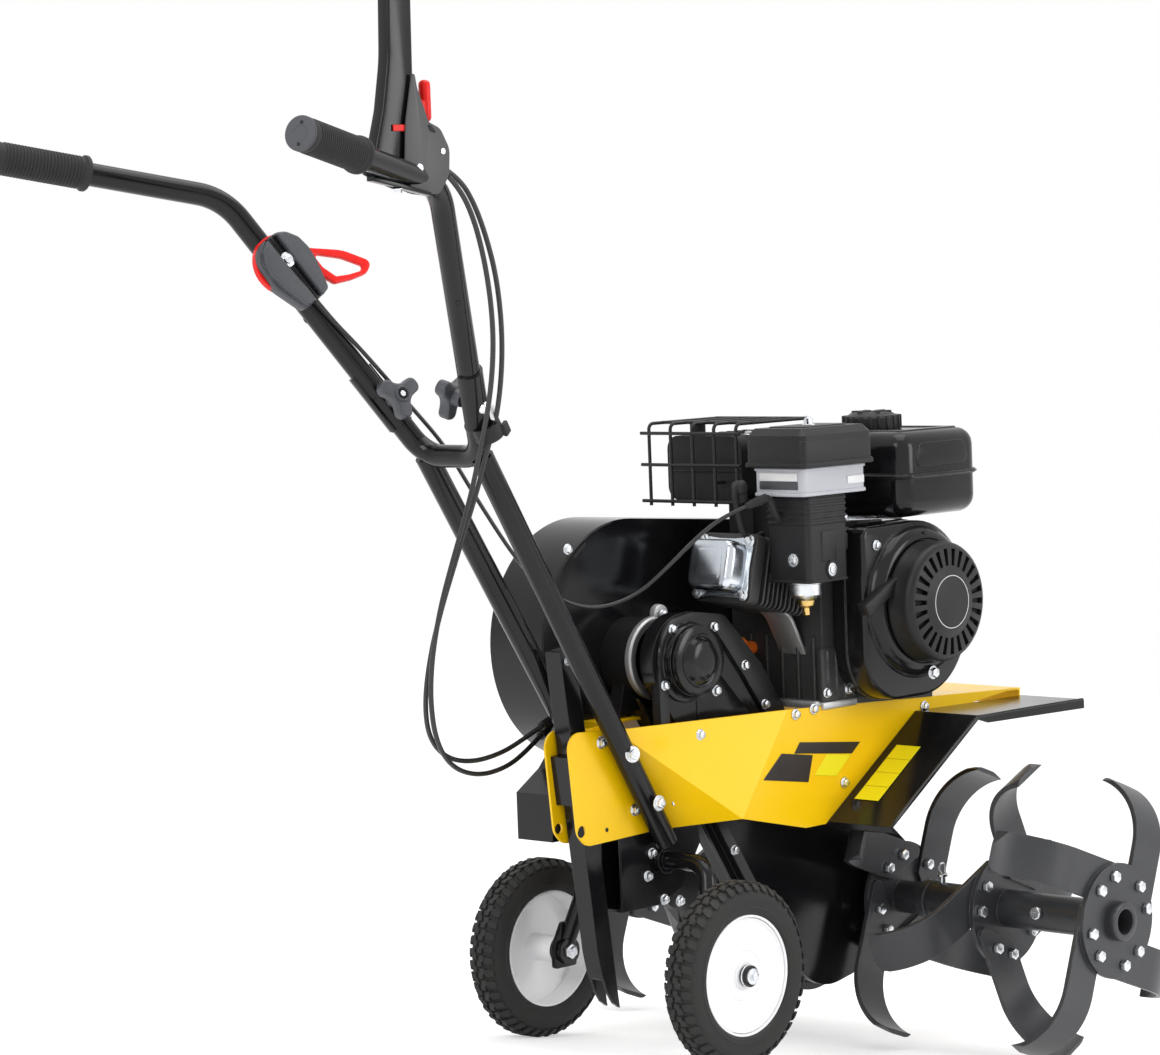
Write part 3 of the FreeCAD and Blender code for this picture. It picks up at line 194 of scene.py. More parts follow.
def make_surface_group():
    """Uneven tone and sheen, with a fine grain: paint, plastic and rubber differ in their numbers."""
    group, start, end = new_group("surface", [
        ("Place", "Vector"), ("Tone", "Color"), ("Deep tone", "Color"), ("Patch size", "Float", 9.0),
        ("Patch share", "Float", 0.4), ("Grain size", "Float", 900.0), ("Rough low", "Float", 0.2),
        ("Rough high", "Float", 0.3)],
                                  [("Colour", "Color"), ("Roughness", "Float"), ("Height", "Float")])
    patches = add_noise(group, start.outputs["Place"], start.outputs["Patch size"])
    grain = add_noise(group, start.outputs["Place"], start.outputs["Grain size"], 2.0)
    share = add_math(group, "MULTIPLY", add_range(group, patches, 0.35, 0.7, 0.0, 1.0),
                     start.outputs["Patch share"])
    both = add_math(group, "ADD", add_math(group, "MULTIPLY", patches, 0.7),
                    add_math(group, "MULTIPLY", grain, 0.3))
    rough = add_range(group, both, 0.3, 0.7, start.outputs["Rough low"], start.outputs["Rough high"])
    wire_up(group, [
        (add_mix(group, share, start.outputs["Tone"], start.outputs["Deep tone"]), end.inputs["Colour"]),
        (rough, end.inputs["Roughness"]), (grain, end.inputs["Height"])])
    return group


def make_edge_group():
    """Where a form turns a corner: a softened normal, and a mask that is broken up along the corner; the mask
    takes a lighter colour, partly wear and partly a painted highlight.
    """
    group, start, end = new_group("corners", [
        ("Place", "Vector"), ("Width", "Float", 0.001)], [("Mask", "Float"), ("Normal", "Vector")])
    soft = group.nodes.new("ShaderNodeBevel")
    soft.samples = 6
    form = group.nodes.new("ShaderNodeNewGeometry")
    compare = group.nodes.new("ShaderNodeVectorMath")
    compare.operation = "DOT_PRODUCT"
    wire_up(group, [(start.outputs["Width"], soft.inputs["Radius"]),
                    (soft.outputs["Normal"], compare.inputs[0]), (form.outputs["Normal"], compare.inputs[1])])
    corner = add_range(group, compare.outputs["Value"], 0.995, 0.86, 0.0, 1.0)
    broken = add_range(group, add_noise(group, start.outputs["Place"], 60.0, 4.0), 0.42, 0.68, 0.0, 1.0)
    wire_up(group, [(add_math(group, "MULTIPLY", corner, broken), end.inputs["Mask"]),
                    (soft.outputs["Normal"], end.inputs["Normal"])])
    return group


def make_dust_group():
    """A little pale dust that has settled on what faces up."""
    group, start, end = new_group("settled_dust", [
        ("Place", "Vector"), ("Amount", "Float", 0.1)], [("Mask", "Float")])
    form = group.nodes.new("ShaderNodeNewGeometry")
    split = group.nodes.new("ShaderNodeSeparateXYZ")
    wire_up(group, [(form.outputs["Normal"], split.inputs[0])])
    facing_up = add_range(group, split.outputs["Z"], 0.1, 0.95, 0.0, 1.0)
    drift = add_range(group, add_noise(group, start.outputs["Place"], 14.0, 5.0), 0.35, 0.75, 0.2, 1.0)
    wire_up(group, [(add_math(group, "MULTIPLY", add_math(group, "MULTIPLY", facing_up, drift),
                              start.outputs["Amount"]), end.inputs["Mask"])])
    return group


surface_group = make_surface_group()
edge_group = make_edge_group()
dust_group = make_dust_group()
finishes = {}


def finish(name, tone, deep, rough, patch=(9.0, 0.4), grain=(900.0, 0.05), metal=0.0, coat=0.0,
           corner=0.0012, corner_wear_and_highlight=None, dust=0.06, specular=0.5):
    """A finish of the machine: its tones, how rough it is, its grain, and the lighter colour at its corners,
    partly wear and partly painted highlight.
    """
    material = bpy.data.materials.new(name)
    material.use_nodes = True
    tree = material.node_tree
    shader = tree.nodes["Principled BSDF"]
    shader.inputs["Metallic"].default_value = metal
    shader.inputs["Coat Weight"].default_value = coat
    shader.inputs["Coat Roughness"].default_value = 0.06
    shader.inputs["Specular IOR Level"].default_value = specular
    place = tree.nodes.new("ShaderNodeTexCoord").outputs["Object"]
    surface, edges, dusty = (tree.nodes.new("ShaderNodeGroup") for _ in range(3))
    surface.node_tree, edges.node_tree, dusty.node_tree = surface_group, edge_group, dust_group
    for title, value in (("Tone", (*tone, 1)), ("Deep tone", (*deep, 1)), ("Patch size", patch[0]),
                         ("Patch share", patch[1]), ("Grain size", grain[0]), ("Rough low", rough[0]),
                         ("Rough high", rough[1])):
        surface.inputs[title].default_value = value
    edges.inputs["Width"].default_value = corner
    dusty.inputs["Amount"].default_value = dust
    bump = tree.nodes.new("ShaderNodeBump")
    bump.inputs["Strength"].default_value = grain[1]
    bump.inputs["Distance"].default_value = 0.001
    # Lighter colour along corners: partly edge wear, partly a painted highlight.
    colour = add_mix(tree, edges.outputs["Mask"], surface.outputs["Colour"], corner_wear_and_highlight or tone)
    colour = add_mix(tree, dusty.outputs["Mask"], colour, (0.55, 0.53, 0.50))
    wire_up(tree, [(place, surface.inputs["Place"]), (place, edges.inputs["Place"]),
                   (place, dusty.inputs["Place"]), (colour, shader.inputs["Base Color"]),
                   (surface.outputs["Roughness"], shader.inputs["Roughness"]),
                   (surface.outputs["Height"], bump.inputs["Height"]),
                   (edges.outputs["Normal"], bump.inputs["Normal"]),
                   (bump.outputs["Normal"], shader.inputs["Normal"])])
    finishes[name] = material
    return material


yellow = finish("yellow_enamel", (1.0, 0.61, 0.0), (0.98, 0.55, 0.0), (0.24, 0.36), (5.0, 0.35),
                (700.0, 0.05), coat=0.1, corner_wear_and_highlight=(1.0, 0.68, 0.03), dust=0.01, specular=0.35)
gloss_black = finish("gloss_black_powder_coat", (0.006, 0.006, 0.007), (0.014, 0.014, 0.015), (0.10, 0.20),
                     (7.0, 0.5), (1100.0, 0.035), corner_wear_and_highlight=(0.05, 0.05, 0.052), dust=0.008, specular=0.28)
satin_black = finish("satin_black_enamel", (0.012, 0.012, 0.013), (0.020, 0.020, 0.021), (0.28, 0.42),
                     (8.0, 0.5), (1300.0, 0.08), corner_wear_and_highlight=(0.06, 0.06, 0.062), dust=0.01, specular=0.28)
tine_grey = finish("tine_enamel", (0.026, 0.027, 0.030), (0.038, 0.039, 0.043), (0.30, 0.42),
                   (10.0, 0.6), (900.0, 0.10), corner=0.0016, corner_wear_and_highlight=(0.11, 0.11, 0.115), dust=0.012)
black_plastic = finish("moulded_black_plastic", (0.010, 0.010, 0.011), (0.016, 0.016, 0.018), (0.34, 0.46),
                       (12.0, 0.4), (2400.0, 0.20), corner_wear_and_highlight=(0.04, 0.04, 0.042), dust=0.012, specular=0.28)
knob_grey = finish("moulded_dark_grey_plastic", (0.050, 0.052, 0.060), (0.070, 0.072, 0.080), (0.34, 0.46),
                   (12.0, 0.4), (2400.0, 0.22), corner_wear_and_highlight=(0.12, 0.12, 0.13), dust=0.02)
satin_grey = finish("satin_grey_enamel", (0.050, 0.050, 0.053), (0.066, 0.066, 0.070), (0.34, 0.46),
                    (8.0, 0.4), (1300.0, 0.08), corner_wear_and_highlight=(0.12, 0.12, 0.12), dust=0.02)
smoke_plastic = finish("milky_grey_plastic", (0.50, 0.51, 0.55), (0.42, 0.43, 0.47), (0.22, 0.34),
                       (10.0, 0.4), (1500.0, 0.06), corner_wear_and_highlight=(0.62, 0.62, 0.66), dust=0.02)
red_plastic = finish("red_plastic", (0.80, 0.010, 0.006), (0.68, 0.007, 0.004), (0.30, 0.40),
                     (14.0, 0.3), (1600.0, 0.06), corner_wear_and_highlight=(0.85, 0.05, 0.03), dust=0.0, specular=0.25)
orange_plastic = finish("orange_plastic", (0.86, 0.17, 0.01), (0.70, 0.12, 0.01), (0.28, 0.40),
                        (14.0, 0.3), (1600.0, 0.08), dust=0.02)
rubber_grip = finish("grip_rubber", (0.014, 0.014, 0.015), (0.026, 0.026, 0.027), (0.55, 0.72),
                     (16.0, 0.5), (2600.0, 0.30), dust=0.02, specular=0.35)
tyre_rubber = finish("tyre_rubber", (0.018, 0.018, 0.018), (0.034, 0.033, 0.031), (0.62, 0.82),
                     (18.0, 0.6), (1800.0, 0.35), corner_wear_and_highlight=(0.05, 0.048, 0.045), dust=0.06, specular=0.35)
white_paint = finish("white_enamel", (0.97, 0.97, 0.98), (0.94, 0.94, 0.96), (0.28, 0.38),
                     (8.0, 0.3), (900.0, 0.05), dust=0.02)
cable_jacket = finish("cable_jacket", (0.010, 0.010, 0.011), (0.020, 0.020, 0.021), (0.24, 0.36),
                      (40.0, 0.4), (3000.0, 0.10), dust=0.01)
zinc = finish("bright_zinc", (0.72, 0.74, 0.76), (0.56, 0.58, 0.62), (0.16, 0.34), (45.0, 0.6),
              (2600.0, 0.10), metal=1.0, corner=0.0006, corner_wear_and_highlight=(0.86, 0.86, 0.84), dust=0.01)
pressed_steel = finish("pressed_steel", (0.60, 0.64, 0.68), (0.46, 0.50, 0.55), (0.14, 0.28), (16.0, 0.5),
                       (900.0, 0.06), metal=1.0, corner=0.0016, corner_wear_and_highlight=(0.80, 0.82, 0.84), dust=0.01)
cast_alloy = finish("cast_alloy", (0.52, 0.52, 0.52), (0.36, 0.36, 0.36), (0.32, 0.50), (26.0, 0.6),
                    (1400.0, 0.35), metal=0.85, corner_wear_and_highlight=(0.62, 0.62, 0.62), dust=0.03)
dark_casting = finish("dark_casting", (0.045, 0.044, 0.043), (0.028, 0.028, 0.028), (0.40, 0.58),
                      (22.0, 0.6), (1200.0, 0.40), metal=0.3, corner_wear_and_highlight=(0.20, 0.20, 0.20), dust=0.03)
brass = finish("brass", (0.72, 0.50, 0.18), (0.56, 0.37, 0.12), (0.22, 0.36), (40.0, 0.5),
               (2200.0, 0.08), metal=1.0, dust=0.01)
soot_black = finish("heat_proof_black", (0.009, 0.009, 0.009), (0.016, 0.016, 0.015), (0.46, 0.62),
                    (16.0, 0.6), (1500.0, 0.30), corner_wear_and_highlight=(0.04, 0.04, 0.04), dust=0.012, specular=0.25)
# Near-black painted shade, put where holes, slots, cups and bores would be dark inside.
painted_hole_shade = finish("painted_shade_inside", (0.004, 0.004, 0.004), (0.008, 0.008, 0.008), (0.70, 0.85), dust=0.0)
plate_black = finish("plate_black", (0.020, 0.014, 0.012), (0.032, 0.022, 0.018), (0.25, 0.35), dust=0.0)
plate_yellow = finish("plate_yellow", (0.96, 0.84, 0.01), (0.92, 0.79, 0.01), (0.28, 0.38), dust=0.0)
plate_white = finish("plate_white", (0.80, 0.80, 0.80), (0.72, 0.72, 0.72), (0.30, 0.40), dust=0.0)

for finished_in, names in (
        (yellow, "frame_panel_right frame_panel_left engine_bed"),
        (gloss_black, "tine_guard_right tine_guard_left carriage_bracket carriage_frame chain_case "
                      "belt_guard handle_tube_right handle_tube_left handle_yoke handlebar_right "
                      "handlebar_left fan_shroud fuel_tank depth_bar depth_bar_guide clutch_lever"),
        (satin_black, "muffler_guard lever_bracket bearing_bracket"),
        (tine_grey, "tines_inner_right tines_inner_left tines_outer_right tines_outer_left"),
        (black_plastic, "fuel_cap air_cleaner_cover carburettor recoil_starter throttle_control knob_right "
                        "knob_left"),
        (smoke_plastic, "air_cleaner_case"), (orange_plastic, "oil_plug"),
        (rubber_grip, "grip_right grip_left"), (tyre_rubber, "tyre_right tyre_left"),
        (white_paint, "wheel_disc_right wheel_disc_left"), (zinc, "carriage_latch tine_shaft"),
        (pressed_steel, "valve_cover"),
        (dark_casting, "crankcase cylinder_head"), (soot_black, "muffler")):
    for name in names.split():
        cad[name].data.materials.clear()
        cad[name].data.materials.append(finished_in)
for cable in cables:
    cable.data.materials.append(cable_jacket)


# ---------------------------------------------------------------- shapes, in the machine's millimetres
right = Vector((0, -1, 0))


def reach(name):
    """Lowest and highest corners of a CAD node, in the machine's own frame."""
    back = machine.inverted()
    spots = [back @ vertex.co for vertex in cad[name].data.vertices]
    return (Vector([min(spot[i] for spot in spots) for i in range(3)]),
            Vector([max(spot[i] for spot in spots) for i in range(3)]))


def facing(spot, out=(0, 0, 1), side=(1, 0, 0)):
    """A place whose own Z points out, and whose own X lies towards side."""
    z = Vector(out).normalized()
    x = Vector(side) - z * Vector(side).dot(z)
    x = (x if x.length > 0.01 else z.orthogonal()).normalized()
    return Matrix.Translation(spot) @ Matrix((x, z.cross(x), z)).transposed().to_4x4()


def rightward(spot):
    """A place that faces right, with its X along the machine's and its Y up."""
    return facing(spot, right, (1, 0, 0))


def up_by(rise):
    return Matrix.Translation((0, 0, rise))


def closed(shape, place=Matrix()):
    """Merge seams and poles, turn the faces outwards, and put the shape in its place."""
    bmesh.ops.remove_doubles(shape, verts=shape.verts, dist=0.001)
    bmesh.ops.recalc_face_normals(shape, faces=shape.faces)
    bmesh.ops.transform(shape, matrix=place, verts=shape.verts)
    return shape


def soften(shape, edges, width, steps=2):
    """Round some of a shape's edges."""
    if width:
        bmesh.ops.bevel(shape, geom=edges, offset=width, affect="EDGES", segments=steps, profile=0.5,
                        material=-1, clamp_overlap=True)


def turned(profile, place=Matrix(), steps=40):
    """A shape turned about its own Z; a profile that stays off the axis is a ring."""
    shape = bmesh.new()
    spots = [shape.verts.new((radius, 0, height)) for radius, height in profile]
    around = spots[1:] + (spots[:1] if profile[0][0] > 0 else [])
    edges = [shape.edges.new(pair) for pair in zip(spots, around)]
    bmesh.ops.spin(shape, geom=spots + edges, cent=(0, 0, 0), axis=(0, 0, 1), angle=math.tau,
                   steps=steps, use_merge=True, use_duplicate=False)
    return closed(shape, place)


def thickened(shape, thick):
    """Raise a flat shape to a thickness, and give the edges of its two flat sides."""
    raised = bmesh.ops.extrude_face_region(shape, geom=list(shape.faces))["geom"]
    bmesh.ops.translate(shape, vec=(0, 0, thick),
                        verts=[part for part in raised if isinstance(part, bmesh.types.BMVert)])
    return [e for e in shape.edges if abs(e.verts[0].co.z - e.verts[1].co.z) < 1e-4]


def plate(outline, thick, place=Matrix(), edge=0.0, steps=2):
    """A flat plate drawn in its own X and Y, with both its rims softened."""
    shape = bmesh.new()
    shape.faces.new([shape.verts.new((x, y, 0)) for x, y in outline])
    soften(shape, thickened(shape, thick), edge, steps)
    return closed(shape, place)


def ring_plate(outer, inner, thick, place, edge):
    """A flat plate between two outlines."""
    shape = bmesh.new()
    rims = []
    for outline in (outer, inner):
        spots = [shape.verts.new((x, y, 0)) for x, y in outline]
        rims += [shape.edges.new(pair) for pair in zip(spots, spots[1:] + spots[:1])]
    bmesh.ops.bridge_loops(shape, edges=rims)
    soften(shape, [e for e in thickened(shape, thick) if len(e.link_faces) == 2 and e.calc_face_angle(0) > 1],
           edge, 2)
    return closed(shape, place)


def rounded(corners, steps=6):
    """An outline through (x, y, radius) corners, each turned by an arc."""
    outline = []
    for before, here, after in zip(corners[-1:] + corners[:-1], corners, corners[1:] + corners[:1]):
        corner = Vector(here[:2])
        back, ahead = Vector(before[:2]) - corner, Vector(after[:2]) - corner
        half = back.angle(ahead) / 2
        if here[2] <= 0 or half > 1.56:
            outline.append(tuple(corner))
            continue
        trim = min(here[2] / math.tan(half), 0.49 * back.length, 0.49 * ahead.length)
        radius = trim * math.tan(half)
        middle = corner + (back.normalized() + ahead.normalized()).normalized() * (radius / math.sin(half))
        start = corner + back.normalized() * trim - middle
        turn = start.angle_signed(corner + ahead.normalized() * trim - middle)
        outline += [tuple(middle + Matrix.Rotation(-turn * i / steps, 2) @ start) for i in range(steps + 1)]
    return outline


def rectangle(low, high, radius, steps=6):
    """A rectangle between two corners, with its corners rounded."""
    (left, bottom), (far, top) = low, high
    return rounded([(left, bottom, radius), (far, bottom, radius), (far, top, radius), (left, top, radius)],
                   steps)


def sharp_box(low, high):
    """A box between two corners, for its edges to be softened one set at a time."""
    low, high = Vector(low), Vector(high)
    shape = bmesh.new()
    bmesh.ops.create_cube(shape, size=1, matrix=Matrix.Translation((low + high) / 2)
                          @ Matrix.Diagonal((*(high - low), 1)))
    return shape


def block(low, high, edge=2.0, steps=2, place=Matrix()):
    """A box between two corners, with every edge softened."""
    shape = sharp_box(low, high)
    soften(shape, list(shape.edges), edge, steps)
    return closed(shape, place)


def upright_edges(shape):
    return [e for e in shape.edges if abs(e.verts[0].co.z - e.verts[1].co.z) > 1]


def edges_above(shape, level):
    return [e for e in shape.edges if min(v.co.z for v in e.verts) > level]


def disc(radius, low, high, place, steps):
    """A plain round of a radius between two levels."""
    return turned([(0, low), (radius, low), (radius, high), (0, high)], place, steps)


def band(inner, outer, low, high, place, steps):
    """A plain ring between two radii and two levels."""
    return turned([(inner, low), (outer, low), (outer, high), (inner, high)], place, steps)


def bolts_at(spots, out, size, washer, stub=0.0):
    return [hex_bolt(spot, out, size, washer, stub) for spot in spots]


def rod(start, end, radius, edge=0.6, steps=16):
    """A round bar between two places, with its ends chamfered."""
    length = (Vector(end) - Vector(start)).length
    return turned([(0, 0), (radius - edge, 0), (radius, edge), (radius, length - edge),
                   (radius - edge, length), (0, length)], facing(start, Vector(end) - Vector(start)), steps)


def wire(points, radius):
    """A round wire on a smooth line by its control points."""
    holder = bpy.data.objects.new("wire", round_curve("wire", points, radius, 2, 5)[0])
    mesh = bpy.data.meshes.new_from_object(holder)
    shape = bmesh.new()
    shape.from_mesh(mesh)
    bpy.data.objects.remove(holder)
    bpy.data.meshes.remove(mesh)
    return closed(shape)


def hex_bolt(spot, out, size=5.0, washer=1.9, stub=0.0):
    """A hexagon head on its washer; size is half the width across the corners."""
    place = facing(spot, out)
    head = bmesh.new()
    bmesh.ops.create_cone(head, cap_ends=True, segments=6, radius1=size, radius2=size, depth=size * 0.9,
                          matrix=up_by(size * 0.45 + 1.4))
    top = [e for e in head.edges if min(v.co.z for v in e.verts) > size * 0.5]
    soften(head, top, size * 0.14)
    pieces = [closed(head, place)]
    if washer:
        pieces.append(turned([(0, 0), (size * washer - 0.5, 0), (size * washer, 0.5), (size * washer, 1.1),
                              (size * washer - 0.5, 1.6), (0, 1.6)], place, 20))
    if stub:
        end = place @ Vector((0, 0, size + stub))
        pieces.append(rod(place @ Vector((0, 0, 1)), end, size * 0.52, 0.5, 12))
    return together(pieces)


def screw(spot, out, size=5.0):
    """A low round head with a recess in it, on its washer."""
    return turned([(0, 0), (size * 1.5, 0), (size * 1.5, 1.0), (size, 1.2), (size * 0.94, size * 0.45),
                   (size * 0.6, size * 0.62), (size * 0.25, size * 0.6), (size * 0.15, size * 0.25),
                   (0, size * 0.25)], facing(spot, out), 20)


def together(shapes):
    """Several shapes as one."""
    whole = bmesh.new()
    for shape in shapes:
        part = bpy.data.meshes.new("part")
        shape.to_mesh(part)
        shape.free()
        whole.from_mesh(part)
        bpy.data.meshes.remove(part)
    return whole


def finished(name, coat, shapes, replaces=(), sharp=32, body="machine"):
    """A finished piece from shapes in the machine's millimetres."""
    mesh = bpy.data.meshes.new(name)
    whole = together(shapes)
    whole.to_mesh(mesh)
    whole.free()
    mesh.transform(machine)
    mesh.shade_smooth()
    mesh.set_sharp_from_angle(angle=math.radians(sharp))
    mesh.materials.append(coat)
    piece = bpy.data.objects.new(name, mesh)
    everything.link(piece)
    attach(piece, body)
    if replaces:
        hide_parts(*replaces)
    return piece


def around(axis, spot, count, first=0.0):
    """Turns by equal steps about a line."""
    to_spot = Matrix.Translation(spot)
    return [to_spot @ Matrix.Rotation(first + math.tau * i / count, 4, axis) @ to_spot.inverted()
            for i in range(count)]


def turned_by(shape, turn):
    """The same shape after a turn."""
    bmesh.ops.transform(shape, matrix=turn, verts=shape.verts)
    return shape


# ---------------------------------------------------------------- transport wheels
def dress_wheel(side, sign):
    """A block-tread tyre round the CAD wheel, and the bolt in its hub."""
    low, high = reach("tyre_" + side)
    middle, half, radius = (low.y + high.y) / 2, (high.y - low.y) / 2, high.z
    out = Vector((0, sign, 0))
    axle = facing((0, middle, 0), out)
    bead = radius - 39.5
    carcass = turned([
        (bead, -half + 5), (bead + 3, -half + 1.5), (bead + 9, -half), (bead + 10, -half + 0.9),
        (radius - 20, -half + 0.9), (radius - 13, -half + 3.2), (radius - 7, -half + 8.4),
        (radius - 4, -half + 14.5),
        (radius - 3.2, 0), (radius - 4, half - 14.5), (radius - 7, half - 8.4), (radius - 13, half - 3.2),
        (radius - 20, half - 0.9), (bead + 10, half - 0.9), (bead + 9, half), (bead + 3, half - 1.5),
        (bead, half - 5)], axle, 72)
    pitches = 44
    step = math.tau / pitches
    centre_block = [(-6.0, 0.5), (-1.0, 0.5), (2.0, 3.6), (7.0, 3.6), (7.0, 11.6), (1.5, 11.6), (-1.5, 8.0),
                    (-6.0, 8.0)]
    shoulder_block = [(-4.8, -5.4), (2.6, -5.4), (5.0, 1.0), (5.0, 6.6), (-2.4, 6.6), (-4.8, 2.0)]
    blocks = []
    for row in (-1, 1):
        for i in range(pitches):
            turn = Matrix.Rotation(step * (i + (0.5 if row > 0 else 0)), 4, "Z")
            crown = facing((radius - 4.6, 0, 0), (1, 0, 0), (0, 1, 0))
            edge = facing((radius - 7.4, 0, row * (half - 8.4)), (1, 0, row * 0.8), (0, 1, 0))
            for outline, seat, high_by in ((centre_block, crown, 4.6), (shoulder_block, edge, 3.0)):
                if outline is centre_block and row < 0:
                    outline = [(x, -y) for x, y in outline]
                blocks.append(plate(outline, high_by, axle @ turn @ seat, 0.6, 1))
    finished("tread_tyre_" + side, tyre_rubber, [carcass] + blocks, ["tyre_" + side], body="wheel_" + side)

    hub = reach("wheel_disc_" + side)
    face = max(abs(hub[0].y), abs(hub[1].y)) * sign
    stub = max(abs(spot.y) for spot in reach("carriage_frame")) * sign
    cap = turned([(0, 0), (13.2, 0), (13.6, 0.4), (13.6, 1.6), (13, 2.2), (9.8, 2.4), (9.8, 8.8), (9, 9.7),
                  (7.5, 10), (0, 10)], facing((0, face + 0.7 * sign, 0), out), 32)
    finished("axle_cap_" + side, zinc, [cap, hex_bolt((0, stub + 0.4 * sign, 0), out, 5.6, 1.35, 1.5)],
             body="wheel_carriage")
    dish = turned([(17.5, 0), (29, 0), (30.5, 1.2), (32, 0), (66, 0), (67.5, 2.4), (69, 3), (69.6, 0),
                   (69.6, -2), (17.5, -2)], facing((0, middle + 14.2 * sign, 0), out), 64)
    finished("wheel_dish_" + side, white_paint, [dish], body="wheel_" + side)


dress_wheel("right", -1)
dress_wheel("left", 1)


def dress_carriage():
    """Square-ended plates on the legs' ends, with the axles' washers and nuts on their inner faces."""
    ears, nuts = [], []
    for sign in (-1, 1):
        ear = [(-19, -21, 4), (19, -21, 4), (21, 8, 4), (17, 36, 5), (-3, 36, 5), (-19, 8, 5)]
        place = facing((0, sign * 120, 0), (0, sign, 0), (1, 0, 0))
        ears.append(plate([(x, -sign * y) for x, y in rounded(ear)], 7, place, 0.9))
        inner = Vector((0, -sign, 0))
        nuts += [turned([(0, 0), (14, 0), (14, 1.4), (13.4, 2), (0, 2)],
                        facing((0, sign * 119.9, 0), inner), 32),
                 hex_bolt((0, sign * 118, 0), inner, 10, 0, 3),
                 turned([(0, 0), (6, 0), (6, 12.5), (5, 13.5), (0, 13.5)],
                        facing((0, sign * 118, 0), inner), 24)]
    finished("carriage_ears", gloss_black, ears, body="wheel_carriage")
    finished("carriage_nuts", zinc, nuts, body="wheel_carriage")


dress_carriage()


# ---------------------------------------------------------------- engine
def dress_starter():
    """The starter's slotted cover, the ring in its middle, and the pull handle beside it."""
    low, high = reach("recoil_starter")
    axis_x, axis_z = (low.x + high.x) / 2, (low.z + high.z) / 2
    radius, deep = (high.x - low.x) / 2, high.y - low.y
    seat = rightward((axis_x, high.y, axis_z))
    slots_round = 52    # a slot and a rib by turns
    profile = [(0, deep), (35, deep), (37, deep - 0.6), (44, deep - 3.2), (45.5, deep - 3.6),
               (67.5, deep - 5.2),
               (69.5, deep - 6), (73, deep - 8), (75.2, deep - 11.5), (radius, deep - 16), (radius, 6),
               (radius + 1, 4), (radius + 1, 0), (0, 0)]
    cover = turned(profile, Matrix(), slots_round)
    ring = [face for face in cover.faces if 46 < math.hypot(*face.calc_center_median().xy) < 67
            and face.normal.z > 0.5]
    bays = [face for face in ring
            if int(math.atan2(*face.calc_center_median().yx) / math.tau * slots_round + slots_round) % 2]
    bmesh.ops.inset_individual(cover, faces=bays, thickness=0.3, depth=0)
    bmesh.ops.inset_individual(cover, faces=bays, thickness=0.25, depth=-9)
    bmesh.ops.transform(cover, matrix=seat, verts=cover.verts)
    finished("starter_cover", black_plastic, [cover], ["recoil_starter"])
    # A near-black band behind the slots: painted shade for the dark inside of the cover.
    finished("starter_slot_shade", painted_hole_shade, [band(46, 67, deep - 11, deep - 12, seat, slots_round)])
    finished("starter_ring", plate_white, [band(32.6, 33.6, deep - 0.2, deep + 0.25, seat, 64)])
    grip_middle = Vector((axis_x - 83, high.y - 1, axis_z + 19))
    grip_way = Vector((88, 0, 41)).normalized()
    grip_place = facing(grip_middle, right, grip_way)
    grip = block((-48, -8, -8), (48, 8, 8), 2.4, 2, grip_place)
    neck = rod(grip_place @ Vector((4, 0, -22)), grip_place @ Vector((4, 0, -7)), 9, 1.5)
    finished("starter_handle", black_plastic, [grip, neck])


def dress_shroud():
    """The fan housing: a rolled rim, a domed ring round the starter, its bolts and spare holes."""
    low, high = reach("fan_shroud")
    starter = reach("recoil_starter")
    axis_x, axis_z = (starter[0].x + starter[1].x) / 2, (starter[0].z + starter[1].z) / 2
    rim_y = low.y + 16
    outline = rounded([
        (low.x, high.z - 4, 14), (high.x, high.z, 100), (high.x - 1, low.z + 2, 92),
        (low.x, low.z + 3, 66)], 14)
    flat = rightward((0, high.y, 0))
    depth = high.y - rim_y
    housing = plate(outline, depth, flat, 5, 3)
    lip_outline = [((x - axis_x) * 1.02 + axis_x, (z - axis_z) * 1.012 + axis_z) for x, z in outline]
    lip = plate(lip_outline, 5, rightward((0, high.y - depth * 0.35, 0)), 2, 2)
    seat = rightward((axis_x, rim_y, axis_z))
    dome = turned([(0, -1), (98, -1), (98.5, 1.5), (97, 3.2), (95.5, 2.6), (94.5, 5), (92, 9.5), (88, 13),
                   (83, 15.4), (79.5, 15.6), (78.5, 13.5), (0, 13.5)], seat, 72)
    finished("fan_housing", gloss_black, [housing, lip, dome], ["fan_shroud"])
    finished("fan_housing_bolts", zinc, [
        hex_bolt((axis_x + 6, low.y - 1, axis_z - 92), right, 6.4, 1.4),
        hex_bolt((high.x - 12, rim_y + 6, axis_z - 66), right, 5, 1.4),
        hex_bolt((axis_x - 78, rim_y - 0.5, axis_z + 76), right, 4.6, 1.5)])
    # Spare holes drawn as near-black discs: painted shade.
    finished("fan_housing_hole_shade", painted_hole_shade,
             [disc(3.4, 0, 0.6, facing(spot, right), 16)
              for spot in ((axis_x + 2, rim_y - 14.8, axis_z + 87), (axis_x - 60, rim_y - 8.2, axis_z + 64))])


def dress_linkage():
    """The governor's strap and springs over the fan housing."""
    low, high = reach("fan_shroud")
    y = high.y - 26
    strap = plate(rounded([(0, -6, 4), (118, -5, 4), (128, 4, 4), (122, 9, 3), (60, 6, 6), (0, 6, 4)], 4),
                  1.8, facing((low.x - 12, y, high.z + 8), (0.05, -0.35, 0.94), (1, 0, -0.08)), 0.5)
    rods = [wire([(low.x - 20, y, high.z + 6), (low.x + 20, y - 3, high.z + 4),
                  (low.x + 60, y, high.z + 6)], 1.5)]
    for x, z, count in ((low.x - 2, high.z - 20, 9), (low.x + 8, high.z - 42, 7)):
        coil = [(x + i * 1.1, y + 2 + 3.4 * math.cos(i * 1.57), z + 3.4 * math.sin(i * 1.57))
                for i in range(count * 4)]
        rods.append(wire(coil, 0.8))
        rods.append(wire([(x - 14, y + 2, z + 1), (x - 4, y + 2, z), (x, y + 2, z)], 0.8))
    finished("governor_linkage", zinc,
             [strap, hex_bolt((low.x - 6, y - 4, high.z + 9), (0, -0.35, 0.94), 4.4, 1.4)] + rods)


